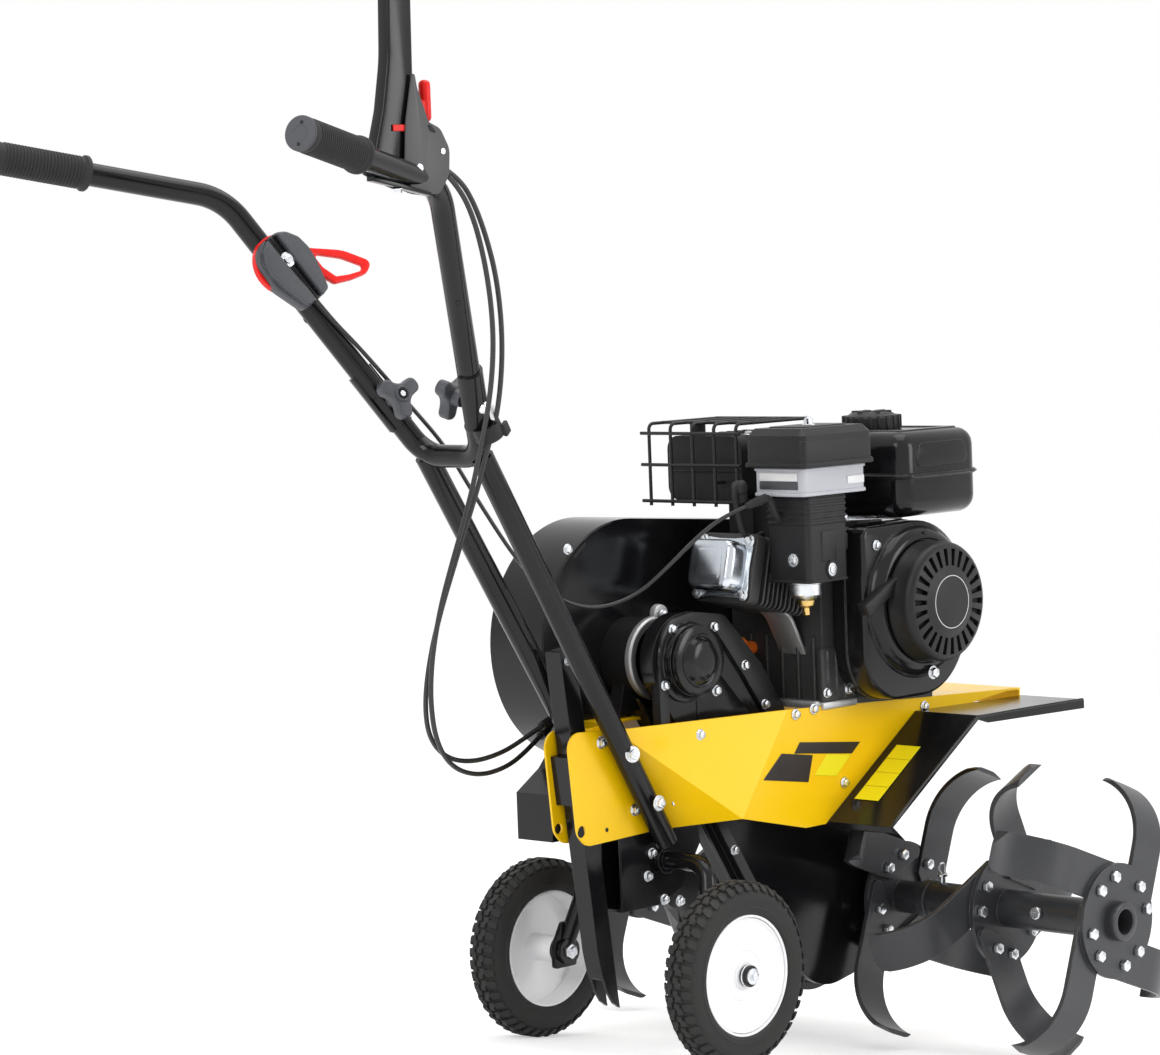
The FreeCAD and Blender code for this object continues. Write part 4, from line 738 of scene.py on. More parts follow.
def dress_tank():
    """The pressed tank in two halves, its seam, raised ribs and side panels, and the fluted cap."""
    low, high = reach("fuel_tank")
    x_mid, y_mid = (low.x + high.x) / 2, (low.y + high.y) / 2
    seam_z = (low.z + high.z) / 2 - 3
    halves = []
    for bottom, top, seam_end in ((low.z, seam_z + 2, seam_z + 2), (seam_z + 1, high.z, seam_z + 1)):
        shape = sharp_box((low.x + 5, low.y + 5, bottom), (high.x - 5, high.y - 5, top))
        edges = [e for e in shape.edges if not all(abs(v.co.z - seam_end) < 1 for v in e.verts)]
        soften(shape, edges, 22, 5)
        halves.append(closed(shape))
    corner = rectangle((low.x, low.y), (high.x, high.y), 26, 7)
    seam = plate(corner, 3, up_by(seam_z), 1.2)
    inset = [(x * 0.985 + x_mid * 0.015, y * 0.99 + y_mid * 0.01) for x, y in corner]
    roll = plate(inset, 7, up_by(seam_z - 2), 2.4)
    ribs = [block((x - 6, low.y + 34, high.z - 3), (x + 6, high.y - 34, high.z + 1.6), 1.8)
            for x in (low.x + 34, high.x - 34)]
    ribs += [block((low.x + 26, y - 5, high.z - 3), (high.x - 26, y + 5, high.z + 1.6), 1.8)
             for y in (low.y + 30, high.y - 52)]
    for side_y, out in ((low.y + 5.6, -1), (high.y - 5.6, 1)):
        panel = rounded([(-54, -16, 10), (54, -16, 10), (46, 15, 12), (-46, 15, 12)], 5)
        ribs.append(plate(panel, 2.2,
                          facing((x_mid, side_y, seam_z + 28), (0, out, 0), (1, 0, 0)), 1.4, 3))
    finished("petrol_tank", gloss_black, halves + [seam, roll] + ribs, ["fuel_tank"], 40)
    cap_low, cap_high = reach("fuel_cap")
    middle = (cap_low + cap_high) / 2
    radius, height = (cap_high.x - cap_low.x) / 2, cap_high.z - cap_low.z
    seat = Matrix.Translation((middle.x, middle.y, cap_low.z))
    cap = turned([(0, 0), (radius - 2, 0), (radius - 1.6, 1.5), (radius - 2.4, height - 7),
                  (radius - 5, height - 4),
                  (radius - 9, height - 3), (radius - 12, height - 1), (radius - 16, height), (0, height)],
                 seat, 60)
    grips = [turned_by(block((middle.x + radius - 6, middle.y - 1.5, cap_low.z + 1),
                             (middle.x + radius - 0.2, middle.y + 1.5, cap_low.z + height - 4), 0.9, 2), turn)
             for turn in around("Z", middle, 20)]
    bars = [turned_by(block((middle.x + 6, middle.y - 3, cap_high.z - 2),
                            (middle.x + radius - 13, middle.y + 3, cap_high.z + 2.2), 1.4, 2), turn)
            for turn in around("Z", middle, 6)]
    finished("petrol_cap", black_plastic, [cap] + grips + bars, ["fuel_cap"])
    neck = turned([(0, -1), (radius - 8, -1), (radius - 6, 1), (radius - 4, 3), (0, 3)],
                  Matrix.Translation((middle.x, middle.y, cap_low.z - 3)), 40)
    finished("petrol_neck", gloss_black, [neck])


def dress_air_cleaner():
    """The filter's lid with its wing nut, the pale case under it, and blank plates on the case."""
    low, high = reach("air_cleaner_cover")
    outline = rectangle((low.x, low.y), (high.x, high.y), 9, 5)
    skirt = plate(outline, high.z - low.z - 15, up_by(low.z), 1.4)
    middle = (low + high) / 2
    crown = sharp_box((low.x + 0.6, low.y + 0.6, high.z - 28), (high.x - 0.6, high.y - 0.6, high.z))
    soften(crown, upright_edges(crown), 9, 4)
    soften(crown, edges_above(crown, high.z - 1), 10, 1)
    panel = plate(rectangle((low.x + 22, low.y + 20), (high.x - 22, high.y - 18), 8, 4), 2.4,
                  up_by(high.z - 0.9), 1.2)
    wide = [(x * 1.035 - middle.x * 0.035, y * 1.05 - middle.y * 0.05) for x, y in outline]
    flare = plate(wide, 7, up_by(low.z - 0.5), 2.2)
    finished("air_cleaner_lid", black_plastic, [skirt, flare, closed(crown), panel],
             ["air_cleaner_cover"], 26)
    nut_spot = Vector((middle.x - 2, middle.y - 2, high.z + 1))
    wings = [turned_by(plate(rounded([(2, 0, 1), (8, 0, 2), (13, 11, 4), (7, 11, 3), (2, 6, 2)], 4), 2.6,
                             rightward(nut_spot + Vector((0, 1.3, 0))), 0.9), turn)
             for turn in around("Z", nut_spot, 2, 0.6)]
    finished("wing_nut", zinc,
             [turned([(0, 0), (9, 0), (9, 1.4), (6, 2.2), (5.4, 8), (4, 9.6), (2.6, 9.8), (2.6, 12), (0, 12)],
                     Matrix.Translation(nut_spot), 24)] + wings)

    low, high = reach("air_cleaner_case")
    outline = rectangle((low.x, low.y), (high.x, high.y), 7, 5)
    inset = [(x * 0.97 + middle.x * 0.03, y * 0.96 + middle.y * 0.04) for x, y in outline]
    case = [plate(inset, high.z - low.z, up_by(low.z), 1.0),
            plate(outline, 5, up_by(low.z), 1.6),
            plate(outline, 4, up_by(high.z - 5), 1.2)]
    finished("air_cleaner_body", smoke_plastic, case, ["air_cleaner_case"])
    for title, finished_in, rise in (("air_cleaner_plate", plate_white, 5.2),
                                     ("air_cleaner_stripe", knob_grey, -5.2)):
        blank = plate(rectangle((-31, -5), (31, 5), 1.5, 3), 0.6,
                      facing((low.x + 1.3, middle.y, middle.z - 41 + rise), (-1, 0, 0), (0, -1, 0)), 0.2)
        finished(title, finished_in, [blank])
    tag = plate(rectangle((-16, -5), (16, 5), 1, 3), 0.6,
                rightward((high.x - 22, low.y + 1.3, middle.z - 44)), 0.2)
    finished("air_cleaner_tag", plate_white, [tag])


def dress_carburettor():
    """The ribbed cover over the carburettor, with its zinc screws, float bowl and drain."""
    low, high = reach("carburettor")
    case_low = reach("air_cleaner_case")[0]
    head = reach("cylinder_head")[0]
    x0, x1, y0, y1 = case_low.x + 11, high.x, low.y, low.y + 66
    z0, z1 = low.z + 26, high.z
    outline = rounded([(x0, y0, 8), (x1, y0, 8), (x1, y1, 4), (x0, y1, 4)], 5)
    shapes = [plate(outline, z1 - z0, up_by(z0), 2, 3)]
    proud = 1.1
    grow = [(x + math.copysign(proud, x - (x0 + x1) / 2), y + math.copysign(proud, y - (y0 + y1) / 2))
            for x, y in outline]
    for i in range(5):
        shapes.append(plate(grow, 4.2, up_by(z1 - 36 + 7.2 * i), 1.2))
    wells = [((x0, y0 + 25, z0 + 27), (-1, 0, 0)), ((x0 + 43, y0, z0 + 13), right)]
    shapes += [plate(grow, 3.4, up_by(z0 - 2), 1.2),
               block((x1 - 2, y0 + 8, z0 + 34), (x1 + 9, y0 + 46, z0 + 56)),
               block((x1 - 2, y0 + 12, z0 + 8), (x1 + 6, y0 + 52, z0 + 26)),
               rod((x0 + 30, y1 - 4, z0 + 22), (x0 + 30, head.y + 2, z0 + 22), 15, 1)]
    shapes += [turned([(8.4, 0), (11.5, 0), (11.5, 1.6), (10.8, 2.4), (9.2, 2.4), (8.4, 1.6)],
                      facing(spot, out), 28) for spot, out in wells]
    shapes.append(block((x0 + 24, y0 - 1.4, z0 + 24), (x0 + 52, y0 + 2, z0 + 62), 1.2))
    finished("carburettor_cover", black_plastic, shapes, ["carburettor"])
    bowl_x, bowl_y = x0 + 30, y0 + 33
    finished("float_bowl", zinc, [
        turned([(0, 0), (9, 0), (12, 1.5), (19, 7), (20.4, 9), (20.6, 22), (22.4, 23), (22.4, 26.5),
                (0, 26.5)],
               Matrix.Translation((bowl_x, bowl_y, z0 - 27)), 40),
        screw(wells[0][0], wells[0][1], 5.6), screw(wells[1][0], wells[1][1], 5.6)])
    finished("bowl_drain", brass, [
        turned([(0, 0), (4, 0), (4.6, 1), (4.6, 5), (9.6, 8), (12, 14), (12.4, 17), (0, 17)],
               Matrix.Translation((bowl_x, bowl_y, z0 - 40)), 32),
        hex_bolt((bowl_x, bowl_y, z0 - 38), (0, 0, -1), 5, 0)])
    end, before = Vector((140, -86, 552)), Vector((112, -68, 540))
    way = (end - before).normalized()
    finished("throttle_boot", rubber_grip, [
        turned([(0, -3), (3.6, -3), (4.6, 2), (5.6, 6), (4.9, 8), (6.2, 11), (5.4, 13), (6.8, 16), (5.6, 19),
                (5.6, 26), (0, 26)], facing(end, way), 20),
        wire([end + way * 22, end + way * 30, (x0 - 8, y0 + 45, z1 - 26), (x0 + 4, y0 + 46, z1 - 30)], 4.8)])


def dress_cylinder():
    """The finned head, its pressed steel cover with a lobed rim, and the heat plate under the cover."""
    lean = math.radians(14)
    out = Vector((-math.cos(lean), 0, math.sin(lean)))
    crank = Vector((crank_x, 0, crank_z))
    low, high = reach("cylinder_head")
    middle_y = (low.y + high.y) / 2

    def seat(distance):
        return facing(crank + out * distance + Vector((0, middle_y, 0)), out, (0, 1, 0))

    fins = [block((-33, -30, 0), (33, 30, 120), 3, 2, seat(115))]
    fin = rectangle((-46, -44), (46, 44), 9, 4)
    for i in range(10):
        fins.append(plate(fin, 2.6, seat(133 + i * 8.4), 0.9, 1))
    fins.append(plate(fin, 18, seat(218), 2, 2))
    fins = together(fins)
    bmesh.ops.bisect_plane(fins, geom=fins.verts[:] + fins.edges[:] + fins.faces[:], dist=0.001,
                           plane_co=(high.x, 0, 0), plane_no=(1, 0, 0), clear_outer=True)
    finished("finned_head", dark_casting, [fins], ["cylinder_head"])
    rim = rounded([(-44, -40, 12), (-12, -37, 14), (12, -37, 14), (44, -40, 12), (41, 0, 16), (44, 40, 12),
                   (12, 37, 14), (-12, 37, 14), (-44, 40, 12), (-41, 0, 16)], 6)
    cover = sharp_box((-35.5, -32, -3), (35.5, 32, 33))
    soften(cover, upright_edges(cover), 15, 6)
    soften(cover, edges_above(cover, 32), 9, 5)
    panel = plate(rectangle((-22, -19), (22, 19), 8, 5), 3,
                  seat(236 + 31.4), 2.2, 3)
    finished("rocker_cover", pressed_steel,
             [plate(rim, 3, seat(237), 0.8), closed(cover, seat(236 + 1.5)), panel], ["valve_cover"], 40)
    bolts = [hex_bolt(seat(240) @ Vector((x, y, 0)), out, 5.4, 1.35)
             for x, y in ((-38, -34), (38, -34), (38, 34), (-38, 34))]
    finished("rocker_cover_bolts", zinc, bolts)
    shelf = rounded([(0, 0, 1), (40, 4, 12), (76, -24, 26), (104, -78, 4), (101, -79, 1), (72, -27, 26),
                     (38, 1, 12), (0, -3, 1)], 8)
    finished("heat_plate", cast_alloy,
             [plate(shelf, 42, rightward((166, -22, 428)), 0.6)])


dress_starter()
dress_shroud()
dress_linkage()
dress_tank()
dress_air_cleaner()
dress_carburettor()
dress_cylinder()


# ---------------------------------------------------------------- chain case, bearing and belt guard
def disc_at(x, z, level, profile, steps=40):
    """A turned shape whose axis runs out to the right, from a level in Y."""
    return turned(profile, rightward((x, level, z)), steps)


def side_plate(outline, level, thick, edge=0.6, steps=2):
    """A plate drawn in X and Z that stands out to the right from a level in Y."""
    return plate(outline, thick, rightward((0, level, 0)), edge, steps)


def dress_chain_case():
    """The case's bolted flange, the stepped rings round its input boss, and its bolts."""
    face = reach("chain_case")[0].y + 30
    x, z = 74, 366
    flange = rounded([(22, 262, 2), (20, 352, 40), (30, 416, 38), (86, 424, 40), (142, 416, 26),
                      (210, 346, 26), (262, 268, 2)], 8)
    inner = rounded([(38, 262, 2), (36, 350, 34), (44, 400, 34), (84, 406, 34), (124, 400, 30),
                     (176, 336, 30), (226, 268, 2)], 8)
    raised = ring_plate(flange, inner, 14, rightward((0, face + 9, 0)), 1.6)
    boss = disc_at(x, z, face + 1, [
        (0, 0), (52.4, 0), (53, 3), (52, 5), (47.6, 5.6), (46, 7.5), (45.4, 15), (44.4, 17), (41, 17.4),
        (39.2, 18.6), (43.6, 19.4), (44, 24), (43.2, 26), (40, 27), (34, 27.4), (32.4, 26.2), (30.6, 26),
        (28.8, 27.2), (26.8, 31), (22.4, 33.6), (14, 34.8), (0, 35)], 56)
    web = side_plate(rounded([(90, 340, 20), (128, 350, 30), (186, 290, 20), (192, 262, 2), (92, 262, 2)], 6),
                     face + 1, 2.4, 1.2)
    finished("case_flange", satin_black, [raised])
    finished("case_boss", gloss_black, [boss, web])
    flange_bolts = bolts_at([(bolt_x, face - 5, bolt_z) for bolt_x, bolt_z in
                             ((46, 406), (122, 402), (177, 349), (29, 339), (212, 296))], right, 5.2, 1.25)
    web_bolt = hex_bolt((126, face - 1, 322), right, 5.6, 1.3)
    low_bolts = bolts_at([(bolt_x, -3, bolt_z) for bolt_x, bolt_z in
                          ((359, -78), (300, -62), (426, -56), (266, 60), (478, 70))], right, 5, 1.3)
    finished("case_bolts", zinc, flange_bolts + [web_bolt] + low_bolts)
    hubs = [turned([(17, 0), (40, 0), (40, 1.2), (38.4, 3.4), (27, 4.4), (26, 3.6), (17, 3.6)],
                   facing((tine_x, -sign * (face + 0.6), tine_z), (0, sign, 0)), 48) for sign in (-1, 1)]
    finished("case_hubs", gloss_black, hubs)


def dress_bearing():
    """The alloy bearing ring beside the belt guard, with its two bolted ears."""
    low, high = reach("bearing_bracket")
    x, z = (low.x + high.x) / 2, high.z - 50
    ring = disc_at(x, z, low.y + 9, [(40, 0), (51, 0), (52.4, 2), (52.4, 8), (50.4, 10.6), (46, 11.4),
                                     (42.4, 10.4), (40, 7)], 56)
    ears, bolts = [], []
    for ear_x, ear_z in ((x + 8, z + 54), (x + 8, z - 54), (x + 58, z)):
        ears.append(disc_at(ear_x, ear_z, low.y + 8,
                            [(0, 0), (12, 0), (12.6, 1), (12.2, 8), (11, 9.4), (0, 9.6)], 24))
        bolts.append(hex_bolt((ear_x, low.y - 2.4, ear_z), right, 5, 1.2, 3))
    finished("bearing_ring", cast_alloy, [ring] + ears)
    finished("bearing_bolts", zinc, bolts)


def dress_belt_guard():
    """The belt guard's rolled rim, its bolt and slot, and a blank plate on its outer face."""
    low, high = reach("belt_guard")
    rims = []
    for level, out in ((high.y, 1), (low.y, -1)):
        for x, z, radius in ((72, 386, 152), (crank_x, crank_z, 98)):
            start = math.radians(98 if x < 200 else -70)
            sweep = math.radians(118 if x < 200 else 150)
            arc = [(x + (radius - 1.6) * math.cos(start + sweep * i / 12), level - out * 0.6,
                    z + (radius - 1.6) * math.sin(start + sweep * i / 12)) for i in range(13)]
            rims.append(wire(arc, 1.8))
    finished("belt_guard_rim", gloss_black, rims)
    finished("belt_guard_bolts", zinc, [
        hex_bolt((-30, low.y - 0.4, 508), right, 5, 1.4), hex_bolt((352, low.y - 0.4, 494), right, 4.6, 1.4)])
    # The slot is a near-black plate on the face: painted shade.
    slot = plate(rectangle((-14, -2.4), (14, 2.4), 2.3, 4), 0.5,
                 facing((-8, low.y - 0.1, 505), right, (0.8, 0, 0.59)), 0.1, 1)
    finished("belt_guard_slot_shade", painted_hole_shade, [slot])
    blank = plate(rectangle((-27, -27), (27, 27), 4, 4), 0.5,
                  facing((-22, high.y + 0.1, 446), (0, 1, 0), (1, 0, 1)), 0.1, 1)
    finished("belt_guard_plate", plate_yellow, [blank])


def dress_crankcase():
    """The engine's cast foot with its bolts, a ribbed side and the plate that shields it."""
    low, high = reach("crankcase")
    base_z = low.z + 6
    foot = [block((low.x - 4, low.y - 3, base_z), (low.x + 62, low.y + 22, base_z + 10), 2, 2),
            block((low.x - 12, low.y + 4, base_z + 2), (low.x + 4, high.y - 6, base_z + 12), 2, 2)]
    wall = [block((low.x - 3, low.y - 2.4, base_z + 8), (low.x + 56, low.y + 8, base_z + 78), 3, 3)]
    ribs = [block((low.x - 5, low.y + 10 + 26 * i, base_z + 10),
                  (low.x + 2, low.y + 14 + 26 * i, base_z + 92), 1, 2)
            for i in range(5)]
    ribs += [block((low.x + 6 + 16 * i, low.y - 4.4, base_z + 12),
                   (low.x + 9 + 16 * i, low.y + 2, base_z + 74), 1, 2)
             for i in range(4)]
    finished("crankcase_foot", cast_alloy, foot)
    finished("crankcase_side", dark_casting, wall + ribs)
    finished("crankcase_bolts", zinc, [
        hex_bolt((low.x + 2, low.y - 3, base_z + 22), right, 5.2, 1.3),
        hex_bolt((low.x + 44, low.y - 3, base_z + 22), right, 5.2, 1.3),
        hex_bolt((low.x + 6, low.y + 6, base_z + 9), (0, 0, 1), 5, 1.4, 4),
        hex_bolt((low.x + 50, low.y + 6, base_z + 9), (0, 0, 1), 5, 1.4, 4)])


def dress_oil_plug():
    """The filler plug: a winged grip, its collar and stem."""
    low, high = reach("oil_plug")
    y, z = (low.y + high.y) / 2, (low.z + high.z) / 2 + 1
    seat = facing((low.x + 13, y, z), (-1, 0, 0.1), (0, -1, 0))
    wings = [plate(rounded([(-15, -4, 3), (-6, -6, 4), (6, -6, 4), (15, -4, 3), (15, 4, 3), (6, 6, 4),
                            (-6, 6, 4), (-15, 4, 3)], 4), 14, seat, 2, 3)]
    collar = turned([(0, -3), (12, -3), (13, -1.5), (13, 0.5), (12, 2), (0, 2)], seat, 36)
    stem = disc(8.6, -24, -2, seat, 24)
    finished("oil_filler_plug", orange_plastic, wings + [collar, stem], ["oil_plug"])


def dress_muffler():
    """Seams, louvres and bolts on the silencer's box, and its outlet."""
    low, high = reach("muffler")
    box_low = Vector((low.x, low.y, high.z - 82))
    seams = [block((box_low.x - 1.6, low.y + 2, box_low.z + 36),
                   (high.x + 1.2, high.y - 2, box_low.z + 40), 1.4, 2)]
    for i in range(6):
        slot_x = box_low.x + 18 + i * 15
        seams.append(block((slot_x, high.y - 70, high.z - 1),
                           (slot_x + 7, high.y - 44, high.z + 2.4), 1.2, 2))
    seams.append(band(7, 10, 0, 16, facing((box_low.x + 26, high.y - 30, high.z - 2)), 28))
    finished("silencer_seams", soot_black, seams)
    finished("silencer_bolts", zinc, [
        hex_bolt((box_low.x + 30, low.y + 14, high.z - 0.5), (0, 0, 1), 4.4, 1.4),
        hex_bolt((high.x - 22, low.y + 14, high.z - 0.5), (0, 0, 1), 4.4, 1.4)])
    plug_spot = Vector((158, -60, 556))
    boot = [turned([(0, 0), (7, 0), (8, 2), (8, 12), (9.6, 14), (9.6, 22), (8, 25), (0, 25)],
                   facing(plug_spot, (-0.3, -0.1, 0.9)), 24),
            wire([plug_spot + Vector((-5, -2, 20)), plug_spot + Vector((-22, -4, 26)), (150, -62, 524),
                  (170, -58, 505), (206, -50, 512)], 3.4)]
    finished("spark_plug_boot", rubber_grip, boot)


# ---------------------------------------------------------------- pressed frame
def dress_frame():
    """Bolts, nuts, spare holes and blank plates of the pressed frame."""
    panel, flange = reach("frame_panel_right")[0].y - 0.1, -21.1
    bolts = [hex_bolt((245, panel - 0.2, 289), right, 5, 1.45), hex_bolt((316, -92, 137), right, 4.4, 1.4),
             hex_bolt((-47, -52, 264), (-0.3, -1, 0.1), 6.4, 1.6, 3),
             hex_bolt((-8, -56, 200), right, 6.2, 1.6, 3)]
    for out, sign in ((right, 1), (-right, -1)):
        bolts += bolts_at([(x, sign * (panel - 0.2), z) for x, z in
                           ((33, 281), (210, 286), (300, 189), (464, 268))], out, 5, 1.45)
        bolts += bolts_at([(-69, sign * flange, 279), (-14, sign * flange, 190)], out, 6, 1.3, 2)
    finished("frame_bolts", zinc, bolts)
    finished("tube_spacers", gloss_black, [
        rod((x, start, z), (x, end, z), 5, 0.5)
        for x, z, start, end in ((-47, 264, -50, -26), (-8, 200, -54, -26), (-47, 264, 50, 26))])
    # Spare holes drawn as near-black discs: painted shade.
    holes = []
    for sign in (-1, 1):
        for x, z, radius in ((-109, 174, 5.6), (-64, 172, 2.6)):
            holes.append(disc(radius, 0, 0.35, facing((x, -sign * flange, z), (0, sign, 0)), 24))
    for x, z in ((33, 229), (63, 206)):
        spot = Vector((x, flare_level(x, z), z))
        holes.append(disc(3.6, 0, 0.5, facing(spot, (-0.3, -1, -0.12)), 20))
    finished("frame_hole_shade", painted_hole_shade, holes)

    def blank(*corners):
        return side_plate(corners, panel - 0.1, 0.45, 0.1, 1)

    finished("frame_plate_dark", plate_black, [blank((241, 231), (231, 198), (146, 211), (182, 240)),
                                               blank((334, 237), (317, 224), (206, 237), (217, 250))])
    finished("frame_plate_yellow", plate_yellow, [blank((315, 223), (285, 199), (243, 205), (268, 229))])


def flare_level(x, z):
    """How far right the flared part of the right panel stands at a place."""
    for corners in (((-44, 291), (196, 293), (29, 160)), ((29, 160), (196, 293), (106, 168))):
        (x0, z0), (x1, z1), (x2, z2) = corners
        levels = [21 if corner[0] in (-44, 29) else 90 for corner in corners]
        area = (x1 - x0) * (z2 - z0) - (x2 - x0) * (z1 - z0)
        b = ((x - x0) * (z2 - z0) - (x2 - x0) * (z - z0)) / area
        c = ((x1 - x0) * (z - z0) - (x - x0) * (z1 - z0)) / area
        if min(b, c, 1 - b - c) > -0.02:
            return -(levels[0] + (levels[1] - levels[0]) * b + (levels[2] - levels[0]) * c) - 0.4
    return -90.4


def dress_guards():
    """The tine guards' folded rims, and the blank plate on the right slant."""
    foot, top, end = Vector((266, 0, 144)), Vector((446, 0, 264)), Vector((668, 0, 260.4))
    for side, sign in (("right", -1), ("left", 1)):
        low, high = reach("tine_guard_" + side)
        inner, outer = sorted((low.y, high.y), key=abs)
        edge = outer + sign * 0.4
        over = [(end.x, end.z), (560, 262), (top.x + 6, top.z - 2), (top.x - 4, top.z - 2),
                (foot.x + 40, foot.z + 28), (foot.x + 1, foot.z + 1)]
        rim = wire([(x, edge, z) for x, z in over]
                   + [(foot.x + 6, outer - sign * 6, foot.z - 7),
                      (foot.x + 8, (inner + outer) / 2, foot.z - 8.6),
                      (foot.x + 8, inner + sign * 6, foot.z - 8.6)], 1.7)
        finished("guard_rim_" + side, gloss_black, [rim])
    way = (top - foot).normalized()
    out = Vector((-way.z, 0, way.x))
    middle = foot + way * 42 + out * 0.9 + Vector((0, -124.5, 0))
    rows = [plate([(-12.9, -19.6), (12.9, -19.6), (12.9, 19.6), (-12.9, 19.6)], 0.5,
                  facing(middle + way * (14.4 + i * 26.4), out, way), 0.1, 1) for i in range(4)]
    finished("guard_plate", plate_yellow, rows)


def dress_latch():
    """The wire loop that locks the folded carriage, on its pin and two bolts."""
    def off_panel(x, z, out=6):
        return (x, flare_level(x, z) - out, z)

    loop = wire([off_panel(x, z) for x, z in ((50, 223), (62, 219), (78, 216), (94, 210), (95, 202),
                                              (88, 191), (75, 181), (65, 177), (54, 178), (38, 184))], 3.0)
    hook = wire([off_panel(x, z) for x, z in ((38, 184), (35, 192), (41, 209), (50, 223))], 3.0)
    ends = [hex_bolt(off_panel(x, z, 7), right, size, 1.35)
            for x, z, size in ((50, 223, 5.6), (37, 194, 4.6))]
    ends += [rod(off_panel(x, z, 7), off_panel(x, z, -3), 4, 0.4) for x, z in ((50, 223), (37, 194))]
    ends += [rod(off_panel(92, 204, 8), off_panel(106, 199, 9), 3.6, 0.8),
             rod(off_panel(94, 201, 9), off_panel(94, 201, -3), 3.4, 0.4)]
    finished("latch_loop", zinc, [loop, hook] + ends, ["carriage_latch"])


def dress_bracket():
    """Bolts through the carriage's bracket, and the guide's bolts."""
    level = reach("carriage_bracket")[0].y - 0.1
    bolts = [hex_bolt((150, -34, 119), right, 5, 1.3)]
    for out, sign in ((right, 1), (-right, -1)):
        bolts += bolts_at([(x, sign * level, z) for x, z in ((17, 132), (8, 105), (36, 72), (64, 66))],
                          out, 5.2, 1.35, 2)
    finished("bracket_bolts", zinc, bolts)


dress_chain_case()
dress_bearing()
dress_belt_guard()
dress_crankcase()
dress_oil_plug()
dress_muffler()
dress_frame()
dress_guards()
dress_latch()
dress_bracket()


# ---------------------------------------------------------------- handlebars and controls
bar_foot, bar_bend = (-319, 79, 713), (-456, 181, 948)


def bar_way(sign, start=bar_foot, end=bar_bend):
    """From one place to another on a side's bar; sign is -1 on the right and 1 on the left."""
    first, second = (Vector((x, y * sign, z)) for x, y, z in (start, end))
    return first, (second - first).normalized()


def square_to_bar(sign):
    """The two ways square to a side's bar: towards the tines, and inwards."""
    return Vector((0.8639, 0, 0.5036)), Vector((-0.1768, -0.9363 * sign, 0.3033))


def dress_grip(side, sign):
    """A ribbed rubber grip with a flared collar and a grey end."""
    front, back = bar_way(sign, (-617, 229, 980), (-711, 257, 998.7))
    length = 116
    profile = [(13.8, 0), (19.6, 0), (20.8, 1.5), (20.8, 5), (18.2, 8)]
    for i in range(23):
        at = 10 + i * 4.1
        profile += [(17.9, at), (19.0, at + 0.9), (19.0, at + 2.4), (17.9, at + 3.2)]
    profile += [(18.4, length - 8), (19, length - 4), (18.4, length - 0.6), (13.8, length - 0.6)]
    finished("grip_sleeve_" + side, rubber_grip, [turned(profile, facing(front, back), 40)],
             ["grip_" + side])
    end = facing(front + back * (length - 0.5), back)
    finished("grip_end_" + side, knob_grey,
             [turned([(0, 0), (18.6, 0), (19, 0.8), (19, 2), (17.6, 3), (9, 3.1), (8, 2.3), (0, 2.3)],
                     end, 40)])
    # Holes in the end drawn as near-black discs: painted shade.
    finished("grip_hole_shade_" + side, painted_hole_shade,
             [disc(2, 0, 0.5, end @ Matrix.Translation((x, y, 2.9)), 14)
              for x, y in ((7, 9), (-7, -9))])


def dress_knob(side, sign):
    """A three-lobed clamp knob with a cupped middle, and the bolt that it turns on."""
    spot, along = bar_way(sign)
    across, inward = square_to_bar(sign)
    seat = facing(spot - along * 14 + inward * 25.5, inward, across)
    corners = []
    for i in range(3):
        for out, bearing, radius in ((29.6, -0.327, 8), (29.6, 0.327, 8), (11, math.pi / 3, 16)):
            angle = math.tau * i / 3 + bearing
            corners.append((out * math.cos(angle), out * math.sin(angle), radius))
    lobes = plate(rounded(corners, 6), 15, seat, 3.4, 4)
    rim = turned([(6.4, 13), (8.6, 13), (9.8, 16.4), (8.8, 17.6), (7.4, 17.4), (6.4, 15.5)], seat, 30)
    neck = turned([(0, -10), (9, -10), (10.5, 0), (0, 0)], seat, 24)
    finished("clamp_knob_" + side, knob_grey, [lobes, rim, neck], ["knob_" + side], 40)
    # A near-black disc in the cup inside the rim: painted shade.
    finished("clamp_cup_shade_" + side, painted_hole_shade,
             [disc(7.2, 15.1, 15.4, seat, 24)])
    outer = facing(spot - along * 14 - inward * 16.5, -inward, across)
    finished("clamp_bolt_" + side, zinc, [
        turned([(0, 14), (3.6, 14), (3.6, 17), (2.6, 17.8), (0, 17.8)], seat, 18),
        turned([(0, -3), (8, -3), (8, 0.2), (7.2, 2.2), (4.6, 3.8), (0, 4.3)], outer, 24)])
    finished("clamp_sleeve_end_" + side, gloss_black,
             [band(13.4, 14.7, 0, 1.6, facing(spot - along * 46, along), 36)])


